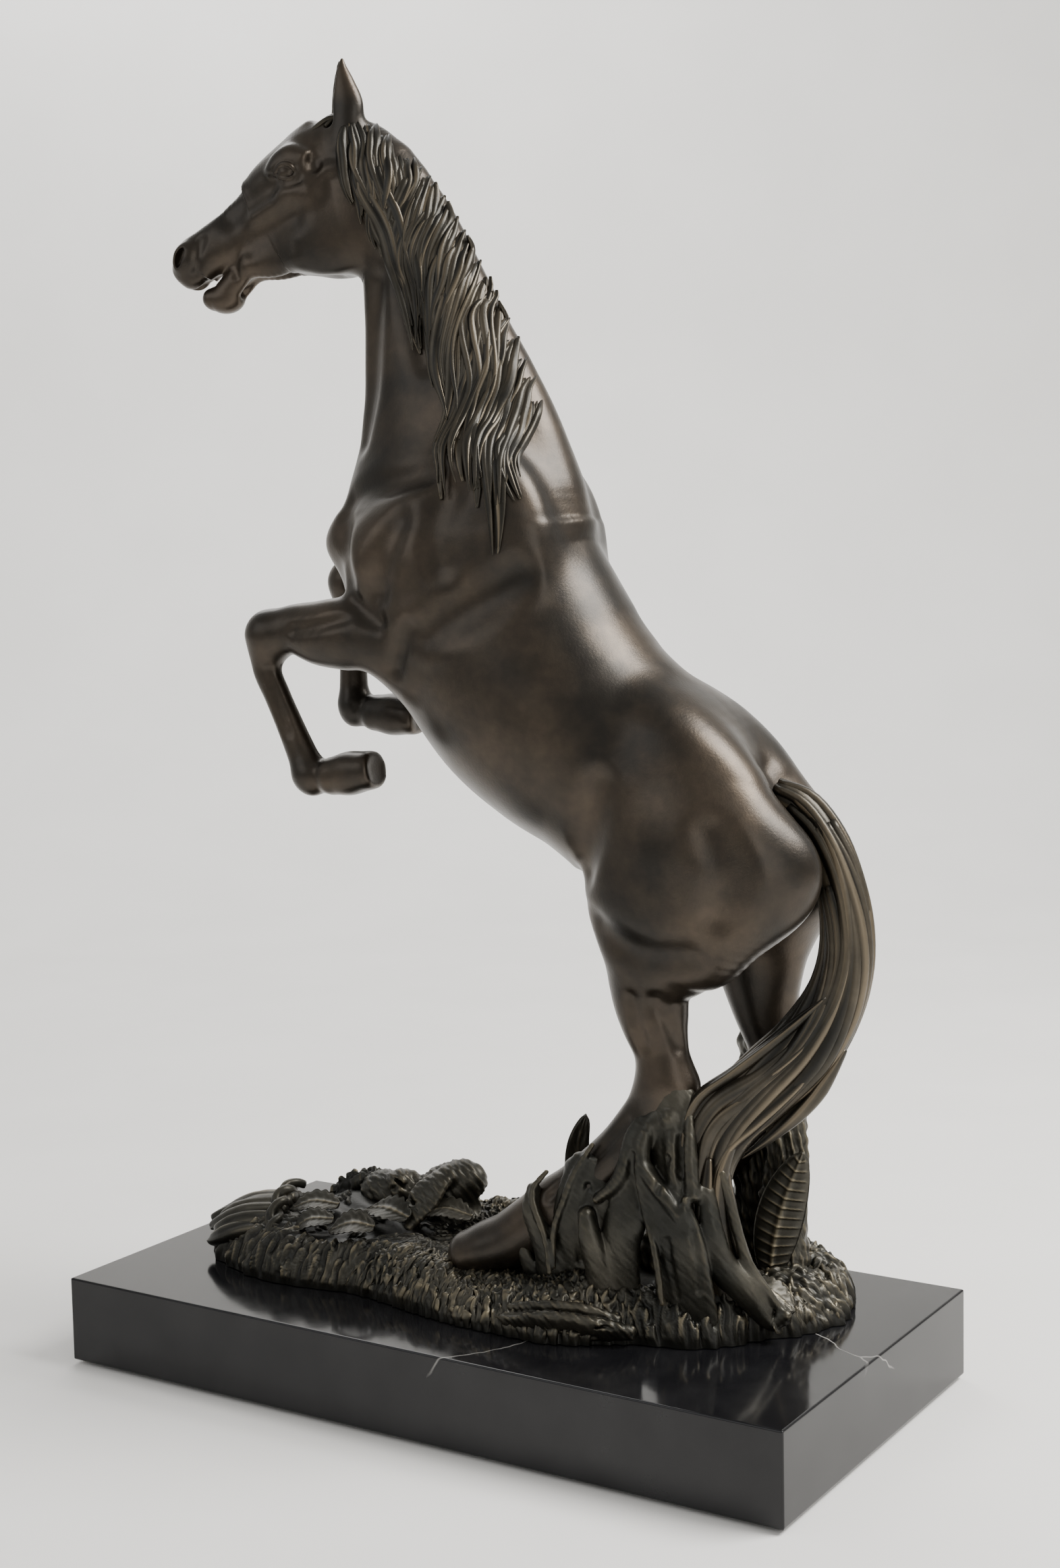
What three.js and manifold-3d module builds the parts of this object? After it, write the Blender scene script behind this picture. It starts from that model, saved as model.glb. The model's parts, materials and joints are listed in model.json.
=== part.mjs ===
// Bronze rearing horse on a black marble plinth.
// Millimetres, +Z up. The object stands on Z = 0 and is centred on the plinth.
// The horse faces -X; its left side faces -Y. The bronze is turned a few degrees on the plinth.
import * as THREE from 'three';
import { mergeVertices } from 'three/addons/utils/BufferGeometryUtils.js';
import Module from 'manifold-3d';

const kernel = await Module();
kernel.setup();
const { Manifold, Mesh: SolidMesh } = kernel;

// ---------------------------------------------------------------- driving sizes
const GAP = 0.3;                 // air left between two parts that touch
const PLINTH_LENGTH = 356;
const PLINTH_WIDTH = 180;
const PLINTH_HEIGHT = 38;
const PLINTH_BEVEL = 1;
const PAD_THICKNESS = 2;
const PAD_DIAMETER = 20;
const PAD_INSET = 22;            // pad centre in from each plinth edge
const BRONZE_HEIGHT = 536.5;     // ear tip above the marble
const BRONZE_TURN = 8;           // degrees the bronze is turned on the plinth
const HEAD_TURN = 6;             // degrees the head looks further to its left
const WALL = 4;                  // thickness of the hollow castings
const STUD_DIAMETER = 8;
const STUD_CLEARANCE = 0.5;      // around the stud in the marble
const STUD_GRIP = 10;            // stud length inside the ground casting
const BOSS_DIAMETER = 20;
const BORE_DEPTH = 13;           // counterbore under the plinth for nut and washer
const BORE_DIAMETER = 30;
const WASHER_DIAMETER = 25;
const WASHER_THICKNESS = 2;
const NUT_ACROSS = 13;
const NUT_HEIGHT = 6.5;
const STUD_PLACES = [[-72, -6], [96, 4]];   // in the bronze's own frame

const UNDERSIDE = PAD_THICKNESS;
const MARBLE_TOP = UNDERSIDE + PLINTH_HEIGHT;
const SIZE = BRONZE_HEIGHT / 536.5;          // 1 at the real size
const radians = THREE.MathUtils.degToRad;

// ---------------------------------------------------------------- sections
// Each row is one section across a limb: x, y, height above the marble, half depth, half width.
// A section stands square to the line through the rows.
const SPINE = [
  [-53, 0, 482, 21, 12.5], [-43, 0, 466, 24, 13.5], [-34.5, 0, 450, 25.5, 15],
  [-28.5, 0, 430, 30, 16.5], [-23.5, 0, 409, 35.5, 19], [-19, 0, 390, 41.5, 22],
  [-15, 0, 368, 48.5, 28], [-13, 0, 346, 55.5, 36], [-12, 0, 326, 60, 42],
  [-5, 0, 304, 58, 45.5], [8, 0, 284, 55.5, 47.5], [22, 0, 264, 54, 48.5],
  [38.5, 0, 248, 51.5, 48], [56, 0, 235, 49.5, 47], [74, 0, 221, 49, 46], [86, 0, 206, 45, 42],
];
// Head rows are in the head's own frame: forward, 0, height, half depth, half width.
const SKULL = [
  [18, 0, 479, 28, 13.5], [29, 0, 476.5, 29, 17], [42, 0, 470, 25, 17], [55, 0, 464, 19.5, 13.5],
  [69, 0, 461, 14.5, 11], [83.5, 0, 456.5, 11.3, 9.5], [92, 0, 451, 9.5, 8.5],
];
const LOWER_JAW = [[46, 0, 456, 9, 11], [60, 0, 450, 6.5, 8.5], [72, 0, 443, 5.5, 6.5], [79, 0, 439, 5, 6]];
const EAR = [[14, 6, 494, 7, 5], [10, 8.5, 505, 7.5, 5.5], [9.5, 10, 515, 6.5, 5], [9, 9, 526, 4.2, 3.8], [8, 7, 534.5, 1, 1.2]];
const FORELEG_LEFT = [
  [[-24, -25, 282, 21, 15], [-42, -30, 287, 15, 12], [-55, -31, 289, 15.5, 11.5],
    [-68, -30, 289.5, 14.2, 10.5], [-82, -28.5, 291, 11, 9], [-93, -28, 289, 9.5, 9]],
  [[-96.5, -28, 288, 8.5, 8.5], [-97, -28, 274, 6.3, 6], [-92, -28, 262, 5.8, 5.5],
    [-87, -28, 251, 6, 5.5], [-82, -28, 240, 6.5, 6], [-77, -28, 229, 7.5, 7]],
  [[-76, -28, 227, 8, 7.5], [-69, -28, 224, 8, 7.5], [-60, -28, 226, 9.3, 9.5],
    [-51, -28, 228.5, 8.3, 11]],
];
const FORELEG_RIGHT = [
  [[-20, 25, 295, 21, 15], [-38, 30, 304, 16, 12], [-54, 30, 310, 15, 11.5],
    [-68, 28.5, 314, 13, 10], [-80, 27, 314, 10, 9]],
  [[-85, 26, 311, 8.5, 8.5], [-85, 26, 300, 6.8, 6.5], [-84.5, 26, 288, 6, 5.5],
    [-84, 26, 272, 6.2, 5.8], [-84, 26, 257, 7, 6.5]],
  [[-84, 26, 254, 8, 7], [-77, 26, 251, 8.3, 7.5], [-68, 26, 250, 9, 9], [-57, 26, 250, 8.5, 10.5]],
];
const HIND_LEG_LEFT = [
  [[99, -17, 226, 22, 15], [98, -22, 207, 38, 24], [95.5, -24, 188, 43.5, 24.5],
    [90, -26, 168, 35.5, 20.5], [82.5, -25, 152, 24, 15.5], [79.5, -24, 140, 17.5, 12],
    [81, -24, 128, 14.5, 11], [84, -24, 115, 11.5, 9.5], [86, -24, 103, 11.5, 9.5]],
  [[87, -24, 103, 10.5, 9], [78, -24, 91, 11.5, 9.5], [66, -24, 76, 10.5, 8.5],
    [52, -24, 62, 9.5, 8], [38, -24, 49, 9.5, 8.5], [25, -24, 39, 11.2, 9.5]],
  [[25, -24, 39, 10.5, 9.5], [14, -24, 32, 11, 10], [3, -24, 24, 10.5, 12], [-5, -24, 19, 8, 12]],
];
const HIND_LEG_RIGHT = [
  [[101, 17, 224, 22, 15], [104, 22, 204, 34, 23], [107, 24, 184, 36, 22],
    [109, 26, 164, 29, 19], [110, 26, 146, 20.5, 13.5], [112, 26, 128, 15, 11],
    [116, 26, 112, 12, 9.5], [119, 26, 100, 11.5, 9.5]],
  [[120, 26, 99, 10.5, 9], [111, 26, 84, 11, 9], [98, 26, 66, 10, 8.5],
    [85, 26, 51, 10, 9], [73, 26, 39, 11, 9.5]],
  [[73, 26, 39, 10.5, 9.5], [64, 26, 32, 11, 10], [54, 26, 24, 10.5, 12], [46, 26, 19, 8, 12]],
];
const TAIL = [
  [132, 0, 220, 9, 8], [144, 0, 210, 9, 9], [151, 0, 196, 9, 9.5], [156, 0, 180, 9.5, 10],
  [158, 0, 163, 10.5, 11], [155, -1, 146, 11.5, 12], [148, -5, 130, 12.5, 12],
  [137, -13, 115, 14, 12], [123, -21, 102, 15, 11], [111, -26, 88, 15, 10],
  [104, -28, 70, 13, 9], [103, -26, 52, 11, 8], [107, -18, 36, 10, 8], [114, -9, 22, 8, 7],
  [123, -1, 13, 5, 5],
];
const STUMP = [
  [108, 38, 8, 18, 17], [107, 38, 26, 15, 15], [108, 38, 60, 13.5, 13], [109, 38, 95, 13, 13],
  [111, 38, 130, 12, 12], [113, 38, 156, 9, 9],
];
// Weld planes: a point on the spine line and the direction of the part above.
const HEAD_WELD = { point: [-37, 0, 452], above: [-0.5, 0, 0.86] };
const NECK_WELD = { point: [-14, 0, 352], above: [-0.12, 0, 0.99] };
const LEG_WELD_HEIGHT = 154;
// Ground casting outline, seen from above.
const GROUND_OUTLINE = [
  [-149, 0], [-146, -11], [-126, -27], [-100, -37], [-80, -38], [-58, -38], [-38, -44],
  [-20, -51], [4, -58], [24, -61], [45, -64], [62, -60], [76, -53], [92, -50], [110, -46],
  [127, -29], [143, -14], [152, 2], [151, 22], [143, 44], [122, 61], [94, 65], [60, 61],
  [25, 55], [-10, 52], [-45, 50], [-80, 44], [-112, 34], [-138, 18],
];
const GROUND_RINGS = [[1, 0.3], [0.985, 0.65], [0.9, 0.88], [0.72, 1], [0.5, 1], [0.25, 1]];
const ROCKS = [
  [-72, 22, 12, 15, 11], [-62, 24, 21, 16, 12], [-50, 25, 22, 16, 13], [-38, 24, 25, 17, 12], [-27, 23, 14, 14, 10],
];
// Leaves: path rows with half thickness and half width, like the limbs.
const LEAVES = {
  back_leaf: [[46, 0, 12, 3, 5], [45, 1, 34, 3, 7], [43, 1, 54, 2.5, 8], [45, 0, 72, 2, 5], [50, 0, 84, 1, 1.5]],
  wrapping_leaf: [[48, -38, 14, 3, 6], [42, -37, 32, 2.5, 7], [37, -37, 50, 2.5, 6], [39, -34, 66, 2, 4], [46, -30, 76, 1.2, 2]],
  low_leaf: [[68, -42, 12, 3, 5], [62, -40, 26, 3, 7], [58, -39, 40, 2.5, 5], [60, -38, 52, 1.2, 2]],
  tall_leaf: [[84, -40, 12, 3, 6], [80, -39, 34, 3, 8], [76, -37, 58, 2.5, 8], [76, -36, 80, 2, 5], [80, -36, 96, 1.2, 2]],
  root_leaf: [[98, -46, 12, 3, 6], [95, -45, 34, 3, 8], [88, -46, 56, 2.5, 7], [80, -48, 74, 1.2, 2]],
  side_leaf: [[112, -42, 10, 3, 6], [117, -42, 26, 3, 6], [120, -42, 42, 2.5, 4], [121, -42, 54, 1.2, 2]],
};

// ---------------------------------------------------------------- geometry helpers
/** Turns a three.js geometry into a solid the kernel can join and cut. */
function solid(geometry) {
  const bare = geometry.clone();
  for (const name of Object.keys(bare.attributes)) if (name !== 'position') bare.deleteAttribute(name);
  const welded = mergeVertices(bare, 1e-5);
  const mesh = new SolidMesh({
    numProp: 3,
    vertProperties: new Float32Array(welded.attributes.position.array),
    triVerts: new Uint32Array(welded.index.array),
  });
  mesh.merge();
  return new Manifold(mesh);
}

/** Turns a solid back into a three.js geometry. */
function geometryOf(body) {
  const mesh = body.getMesh();
  const geometry = new THREE.BufferGeometry();
  geometry.setAttribute('position', new THREE.BufferAttribute(new Float32Array(mesh.vertProperties), 3));
  geometry.setIndex(new THREE.BufferAttribute(new Uint32Array(mesh.triVerts), 1));
  geometry.computeVertexNormals();
  return geometry;
}

function joined(bodies) {
  return bodies.reduce((all, body) => all.add(body));
}

/** A smooth line of sections through the rows, `steps` for each row. */
function smoothRows(rows, steps) {
  const first = rows[0].map((value, i) => 2 * value - rows[1][i]);
  const last = rows.at(-1).map((value, i) => 2 * value - rows.at(-2)[i]);
  const padded = [first, ...rows, last];
  const smooth = [];
  for (let i = 1; i < padded.length - 2; i += 1) {
    for (let step = 0; step < steps; step += 1) {
      const t = step / steps;
      smooth.push(padded[i].map((p1, k) => {
        const p0 = padded[i - 1][k];
        const p2 = padded[i + 1][k];
        const p3 = padded[i + 2][k];
        return 0.5 * (2 * p1 + (p2 - p0) * t + (2 * p0 - 5 * p1 + 4 * p2 - p3) * t * t
          + (3 * p1 - p0 - 3 * p2 + p3) * t * t * t);
      }));
    }
  }
  smooth.push(rows.at(-1));
  return smooth;
}

/** Puts a row given in the bronze's own frame at its place above the marble. */
function placed(row, grow) {
  const [x, y, z, a, b] = row;
  return { centre: new THREE.Vector3(x * SIZE, y * SIZE, MARBLE_TOP + z * SIZE), a: a * SIZE + grow, b: b * SIZE + grow };
}

/** A closed limb through elliptical sections, with rounded ends. `grow` widens it all round. */
function limb(rows, { steps = 1, sides = 12, across = [0, 1, 0], grow = 0 } = {}) {
  const sections = smoothRows(rows, steps).map((row) => placed(row, grow));
  const rings = [];
  sections.forEach((section, i) => {
    const before = sections[Math.max(0, i - 1)].centre;
    const after = sections[Math.min(sections.length - 1, i + 1)].centre;
    const along = after.clone().sub(before).normalize();
    const side = new THREE.Vector3(...across).addScaledVector(along, -along.dot(new THREE.Vector3(...across))).normalize();
    const up = side.clone().cross(along);
    rings.push({ ...section, along, side, up });
  });
  const endCap = (ring, sign) => {
    const reach = Math.min(ring.a, ring.b);
    return [0.35, 0.62].map((depth, k) => ({
      ...ring,
      centre: ring.centre.clone().addScaledVector(ring.along, sign * depth * reach),
      a: ring.a * [0.86, 0.5][k],
      b: ring.b * [0.86, 0.5][k],
    }));
  };
  const all = [...endCap(rings[0], -1).reverse(), ...rings, ...endCap(rings.at(-1), 1)];
  const positions = [];
  for (const ring of all) {
    for (let k = 0; k < sides; k += 1) {
      const angle = (2 * Math.PI * k) / sides;
      const point = ring.centre.clone()
        .addScaledVector(ring.up, ring.a * Math.cos(angle))
        .addScaledVector(ring.side, ring.b * Math.sin(angle));
      positions.push(point.x, point.y, point.z);
    }
  }
  return solid(closedTube(positions, all.length, sides, all[0].centre, all.at(-1).centre));
}

/** Joins rings of points into a closed surface with a point in the middle of each end. */
function closedTube(positions, ringCount, sides, startCentre, endCentre) {
  const index = [];
  for (let i = 0; i < ringCount - 1; i += 1) {
    for (let k = 0; k < sides; k += 1) {
      const a = i * sides + k;
      const b = i * sides + ((k + 1) % sides);
      index.push(a, b, b + sides, a, b + sides, a + sides);
    }
  }
  const start = positions.length / 3;
  positions.push(startCentre.x, startCentre.y, startCentre.z, endCentre.x, endCentre.y, endCentre.z);
  const lastRing = (ringCount - 1) * sides;
  for (let k = 0; k < sides; k += 1) {
    const next = (k + 1) % sides;
    index.push(start, next, k);
    index.push(start + 1, lastRing + k, lastRing + next);
  }
  const geometry = new THREE.BufferGeometry();
  geometry.setAttribute('position', new THREE.Float32BufferAttribute(positions, 3));
  geometry.setIndex(index);
  return geometry;
}

/** Several limbs joined end to end. */
function limbChain(chains, options) {
  return joined(chains.map((rows) => limb(rows, options)));
}

function cylinder(diameter, bottom, top, x = 0, y = 0, sides = 20) {
  const geometry = new THREE.CylinderGeometry(diameter / 2, diameter / 2, top - bottom, sides);
  geometry.rotateX(Math.PI / 2);
  geometry.translate(x, y, (bottom + top) / 2);
  return solid(geometry);
}

/** Everything on one side of a plane, cut back by half the gap. */
function sideOfPlane(body, weld, sign) {
  const size = 900;
  const direction = new THREE.Vector3(...weld.above).normalize().multiplyScalar(sign);
  const point = new THREE.Vector3(weld.point[0] * SIZE, weld.point[1] * SIZE, MARBLE_TOP + weld.point[2] * SIZE);
  const block = new THREE.BoxGeometry(size, size, size);
  block.applyQuaternion(new THREE.Quaternion().setFromUnitVectors(new THREE.Vector3(0, 0, 1), direction));
  const centre = point.addScaledVector(direction, size / 2 + GAP / 2);
  block.translate(centre.x, centre.y, centre.z);
  return body.intersect(solid(block));
}

// ---------------------------------------------------------------- horse
const HEAD_PIVOT = -52;
const headAngle = radians(HEAD_TURN);
const HEAD_ACROSS = [Math.sin(headAngle), -Math.cos(headAngle), 0];

/** Moves a row from the head's frame to the bronze's frame. */
function headRow([forward, left, z, a, b]) {
  const x = HEAD_PIVOT - forward * Math.cos(headAngle) + left * Math.sin(headAngle);
  const y = -forward * Math.sin(headAngle) - left * Math.cos(headAngle);
  return [x, y, z, a, b];
}

function headSolid() {
  const skull = limb(SKULL.map(headRow), { steps: 2, sides: 16, across: HEAD_ACROSS });
  const jaw = limb(LOWER_JAW.map(headRow), { sides: 10, across: HEAD_ACROSS });
  const ears = [1, -1].map((sign) => limb(
    EAR.map(([forward, left, z, a, b]) => headRow([forward, left * sign, z, a, b])),
    { sides: 8, across: HEAD_ACROSS },
  ));
  return joined([skull, jaw, ...ears]);
}

/** Point on the neck: station 0..1 down the neck, angle from the crest towards the left, lift off the skin. */
function neckPoint(station, angle, lift) {
  const rows = smoothRows(SPINE.slice(0, 11), 4);
  const at = station * (rows.length - 1);
  const i = Math.min(rows.length - 2, Math.floor(at));
  const t = at - i;
  const row = rows[i].map((value, k) => value + (rows[i + 1][k] - value) * t);
  const along = new THREE.Vector3(rows[i + 1][0] - rows[i][0], 0, rows[i + 1][2] - rows[i][2]).normalize();
  const up = new THREE.Vector3(0, 1, 0).cross(along);
  if (up.x < 0) up.negate();
  const a = (row[3] + lift) * Math.cos(angle);
  const b = (row[4] + lift) * Math.sin(angle);
  return [row[0] + up.x * a, -b, row[2] + up.z * a];
}

/** Locks of the mane: they start at the crest and fall down the left side of the neck. */
function maneSolid() {
  const lockCount = 11;
  const locks = [];
  for (let n = 0; n < lockCount; n += 1) {
    const start = -0.01 + 0.068 * n;
    const reach = 0.27 + 0.05 * Math.sin(n * 2.1);
    const rows = [[0, 4, 7], [0.3, 4.5, 8.5], [0.65, 3.6, 7], [1, 1.4, 2]].map(([t, depth, width]) => {
      const angle = radians(2 + 66 * t ** 0.75 + 5 * Math.sin(n * 1.7) * t);
      return [...neckPoint(Math.max(0, start + reach * t), angle, 1.5 - 1.5 * t), depth, width];
    });
    locks.push(limb(rows, { sides: 6, across: [-0.45, 0, 0.9] }));
  }
  return joined(locks);
}

const SPINE_SHAPE = { steps: 2, sides: 16 };

/** The hollow inside the welded castings: neck, trunk, skull and the tops of the hind legs. */
function hollow() {
  const thinner = { grow: -WALL };
  return joined([
    limb(SPINE.slice(0, -1), thinner),
    limb(SKULL.slice(0, 5).map(headRow), { across: HEAD_ACROSS, ...thinner }),
    limb(HIND_LEG_LEFT[0].slice(0, 7), thinner),
    limb(HIND_LEG_RIGHT[0].slice(0, 7), thinner),
  ]);
}

function horseCastings() {
  const skin = limb(SPINE, SPINE_SHAPE);
  const leftHind = limbChain(HIND_LEG_LEFT);
  const rightHind = limbChain(HIND_LEG_RIGHT);
  const horse = joined([skin, headSolid(), maneSolid(), leftHind, rightHind]).subtract(hollow());
  const legWeld = { point: [0, 0, LEG_WELD_HEIGHT], above: [0, 0, 1] };
  const belowHead = sideOfPlane(horse, HEAD_WELD, -1);
  const belowNeck = sideOfPlane(belowHead, NECK_WELD, -1);
  const skinGrown = limb(SPINE, { ...SPINE_SHAPE, grow: GAP });
  const legs = (chains) => sideOfPlane(limbChain(chains).subtract(hollow()), legWeld, -1);
  return {
    head_casting: sideOfPlane(horse, HEAD_WELD, 1),
    neck_casting: sideOfPlane(belowHead, NECK_WELD, 1),
    torso_casting: sideOfPlane(belowNeck, legWeld, 1),
    foreleg_left_casting: limbChain(FORELEG_LEFT).subtract(skinGrown),
    foreleg_right_casting: limbChain(FORELEG_RIGHT).subtract(skinGrown),
    hind_leg_left_casting: legs(HIND_LEG_LEFT),
    hind_leg_right_casting: legs(HIND_LEG_RIGHT),
  };
}

/** The horse as one body grown by the gap, for cutting clearances in the parts that touch it. */
function horseClearance() {
  return joined([
    limb(SPINE, { ...SPINE_SHAPE, grow: GAP }),
    limbChain(HIND_LEG_LEFT, { grow: GAP }),
    limbChain(HIND_LEG_RIGHT, { grow: GAP }),
  ]);
}

// ---------------------------------------------------------------- ground, stump and leaves
/** Height of the ground casting above the marble, before the edge is rounded down. */
function groundHeight(x, y) {
  const rise = 17 + 3 * Math.sin(x / 31) * Math.cos(y / 22) + 2 * Math.sin(x / 13 + y / 17);
  const mound = (cx, cy, radius, height) => height * Math.exp(-((x - cx) ** 2 + (y - cy) ** 2) / radius ** 2);
  return rise + mound(-108, 18, 38, 9) + mound(100, 24, 34, 3);
}

/** A closed mound over the outline; `inset` and `drop` shrink it for the hollow underneath. */
function moundSolid(inset, drop, bottom) {
  const corners = [...GROUND_OUTLINE].reverse();
  const sides = corners.length;
  const positions = [];
  const rings = [...GROUND_RINGS].reverse();
  for (const [reach, share] of [...rings, [1, 0]]) {
    for (const [x, y] of corners) {
      const length = Math.hypot(x, y);
      const scale = (reach * (length - inset)) / length;
      const z = share === 0 ? bottom : Math.max(bottom + 0.5, share * groundHeight(x * scale, y * scale) - drop);
      positions.push(x * scale * SIZE, y * scale * SIZE, MARBLE_TOP + z * SIZE);
    }
  }
  const top = new THREE.Vector3(0, 0, MARBLE_TOP + (groundHeight(0, 0) - drop) * SIZE);
  const base = new THREE.Vector3(0, 0, MARBLE_TOP + bottom * SIZE);
  return solid(closedTube(positions, rings.length + 1, sides, top, base));
}

function groundSolid() {
  const shell = moundSolid(0, 0, GAP).subtract(moundSolid(WALL, WALL, -1));
  const bosses = STUD_PLACES.map(([x, y]) => cylinder(
    BOSS_DIAMETER, MARBLE_TOP + GAP, MARBLE_TOP + (groundHeight(x / SIZE, y / SIZE) - 3) * SIZE, x, y,
  ));
  const holes = STUD_PLACES.map(([x, y]) => cylinder(
    STUD_DIAMETER + 2 * GAP, MARBLE_TOP - 1, MARBLE_TOP + STUD_GRIP + GAP, x, y,
  ));
  return joined([shell, limb(ROCKS).subtract(moundSolid(WALL, WALL, -1)), ...bosses]).subtract(joined(holes));
}

// ---------------------------------------------------------------- marble and fastenings
function marbleBlock() {
  const half = [PLINTH_LENGTH / 2 - PLINTH_BEVEL, PLINTH_WIDTH / 2 - PLINTH_BEVEL];
  const outline = new THREE.Shape([
    new THREE.Vector2(-half[0], -half[1]), new THREE.Vector2(half[0], -half[1]),
    new THREE.Vector2(half[0], half[1]), new THREE.Vector2(-half[0], half[1]),
  ]);
  const geometry = new THREE.ExtrudeGeometry(outline, {
    depth: PLINTH_HEIGHT - 2 * PLINTH_BEVEL,
    bevelEnabled: true, bevelThickness: PLINTH_BEVEL, bevelSize: PLINTH_BEVEL, bevelSegments: 1, steps: 1,
  });
  geometry.translate(0, 0, UNDERSIDE + PLINTH_BEVEL);
  return solid(geometry);
}

/** Stud places turned with the bronze. */
function studPlaces() {
  const turn = radians(BRONZE_TURN);
  return STUD_PLACES.map(([x, y]) => [
    x * Math.cos(turn) - y * Math.sin(turn), x * Math.sin(turn) + y * Math.cos(turn),
  ]);
}

function plinthSolid() {
  const bores = studPlaces().flatMap(([x, y]) => [
    cylinder(STUD_DIAMETER + 2 * STUD_CLEARANCE, -1, MARBLE_TOP + 1, x, y),
    cylinder(BORE_DIAMETER, -1, UNDERSIDE + BORE_DEPTH, x, y),
  ]);
  return marbleBlock().subtract(joined(bores));
}

const WASHER_TOP = UNDERSIDE + BORE_DEPTH - GAP;
const NUT_TOP = WASHER_TOP - WASHER_THICKNESS - GAP;

function studSolid([x, y]) {
  return cylinder(STUD_DIAMETER, NUT_TOP - NUT_HEIGHT - 1, MARBLE_TOP + STUD_GRIP, x, y);
}

function washerSolid([x, y]) {
  const disc = cylinder(WASHER_DIAMETER, WASHER_TOP - WASHER_THICKNESS, WASHER_TOP, x, y);
  return disc.subtract(cylinder(STUD_DIAMETER + 2 * GAP, 0, MARBLE_TOP, x, y));
}

function nutSolid([x, y]) {
  const acrossCorners = NUT_ACROSS / Math.cos(Math.PI / 6);
  const hexagon = cylinder(acrossCorners, NUT_TOP - NUT_HEIGHT, NUT_TOP, x, y, 6);
  return hexagon.subtract(cylinder(STUD_DIAMETER + 2 * GAP, 0, MARBLE_TOP, x, y));
}

// ---------------------------------------------------------------- assembly
const BRONZE = new THREE.MeshStandardMaterial({ color: 0x4a3722, roughness: 0.38, metalness: 0.9 });
const DARK_BRONZE = new THREE.MeshStandardMaterial({ color: 0x3a3226, roughness: 0.55, metalness: 0.85 });
const MARBLE = new THREE.MeshStandardMaterial({ color: 0x0b0c0e, roughness: 0.12, metalness: 0 });
const STEEL = new THREE.MeshStandardMaterial({ color: 0x9a9c9e, roughness: 0.4, metalness: 1 });
const FELT = new THREE.MeshStandardMaterial({ color: 0x15151a, roughness: 0.95, metalness: 0 });

const assembly = new THREE.Group();
assembly.name = 'bronze_horse_statue';

function addPart(name, body, material, turned = false) {
  const geometry = geometryOf(body);
  if (turned) geometry.rotateZ(radians(BRONZE_TURN));
  const mesh = new THREE.Mesh(geometry, material);
  mesh.name = name;
  assembly.add(mesh);
}

/** The stump is cast hollow and open where it stands on the ground. */
function stumpSolid() {
  const shape = { sides: 12 };
  return limb(STUMP, shape).subtract(limb(STUMP.slice(0, 3), { ...shape, grow: -WALL }));
}

function addBronze() {
  const ground = moundSolid(-GAP, -GAP, -20);
  for (const [name, body] of Object.entries(horseCastings())) addPart(name, body.subtract(ground), BRONZE, true);
  let taken = joined([horseClearance(), ground]);
  addPart('tail_casting', limb(TAIL).subtract(taken), BRONZE, true);
  taken = taken.add(limb(TAIL, { grow: GAP }));
  addPart('tree_stump_casting', stumpSolid().subtract(taken), DARK_BRONZE, true);
  taken = taken.add(limb(STUMP, { sides: 12, grow: GAP }));
  const leafShape = { sides: 8, across: [0.94, 0.34, 0] };
  for (const [name, rows] of Object.entries(LEAVES)) {
    addPart(name, limb(rows, leafShape).subtract(taken), DARK_BRONZE, true);
    taken = taken.add(limb(rows, { ...leafShape, grow: GAP }));
  }
  addPart('ground_casting', groundSolid(), DARK_BRONZE, true);
}

function addBase() {
  addPart('marble_plinth', plinthSolid(), MARBLE);
  studPlaces().forEach((place, i) => {
    const end = ['front', 'rear'][i];
    addPart(`mounting_stud_${end}`, studSolid(place), STEEL);
    addPart(`mounting_washer_${end}`, washerSolid(place), STEEL);
    addPart(`mounting_nut_${end}`, nutSolid(place), STEEL);
  });
  for (const [endName, endSign] of [['front', -1], ['rear', 1]]) {
    for (const [sideName, sideSign] of [['left', -1], ['right', 1]]) {
      const x = endSign * (PLINTH_LENGTH / 2 - PAD_INSET);
      const y = sideSign * (PLINTH_WIDTH / 2 - PAD_INSET);
      addPart(`felt_pad_${endName}_${sideName}`, cylinder(PAD_DIAMETER, 0, PAD_THICKNESS - GAP, x, y), FELT);
    }
  }
}

addBronze();
addBase();

export default assembly;
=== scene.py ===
"""Rearing bronze horse on a polished black marble plinth: the detailed visual model.

Shapes are worked out in millimetres in the bronze's own frame: x runs from the nose to the tail,
y to the horse's right, z up from the marble top. to_world() turns that frame on the plinth.
"""

import json
import math
import random

import bmesh
import bpy
import numpy as np
from mathutils import Matrix, Vector

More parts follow.
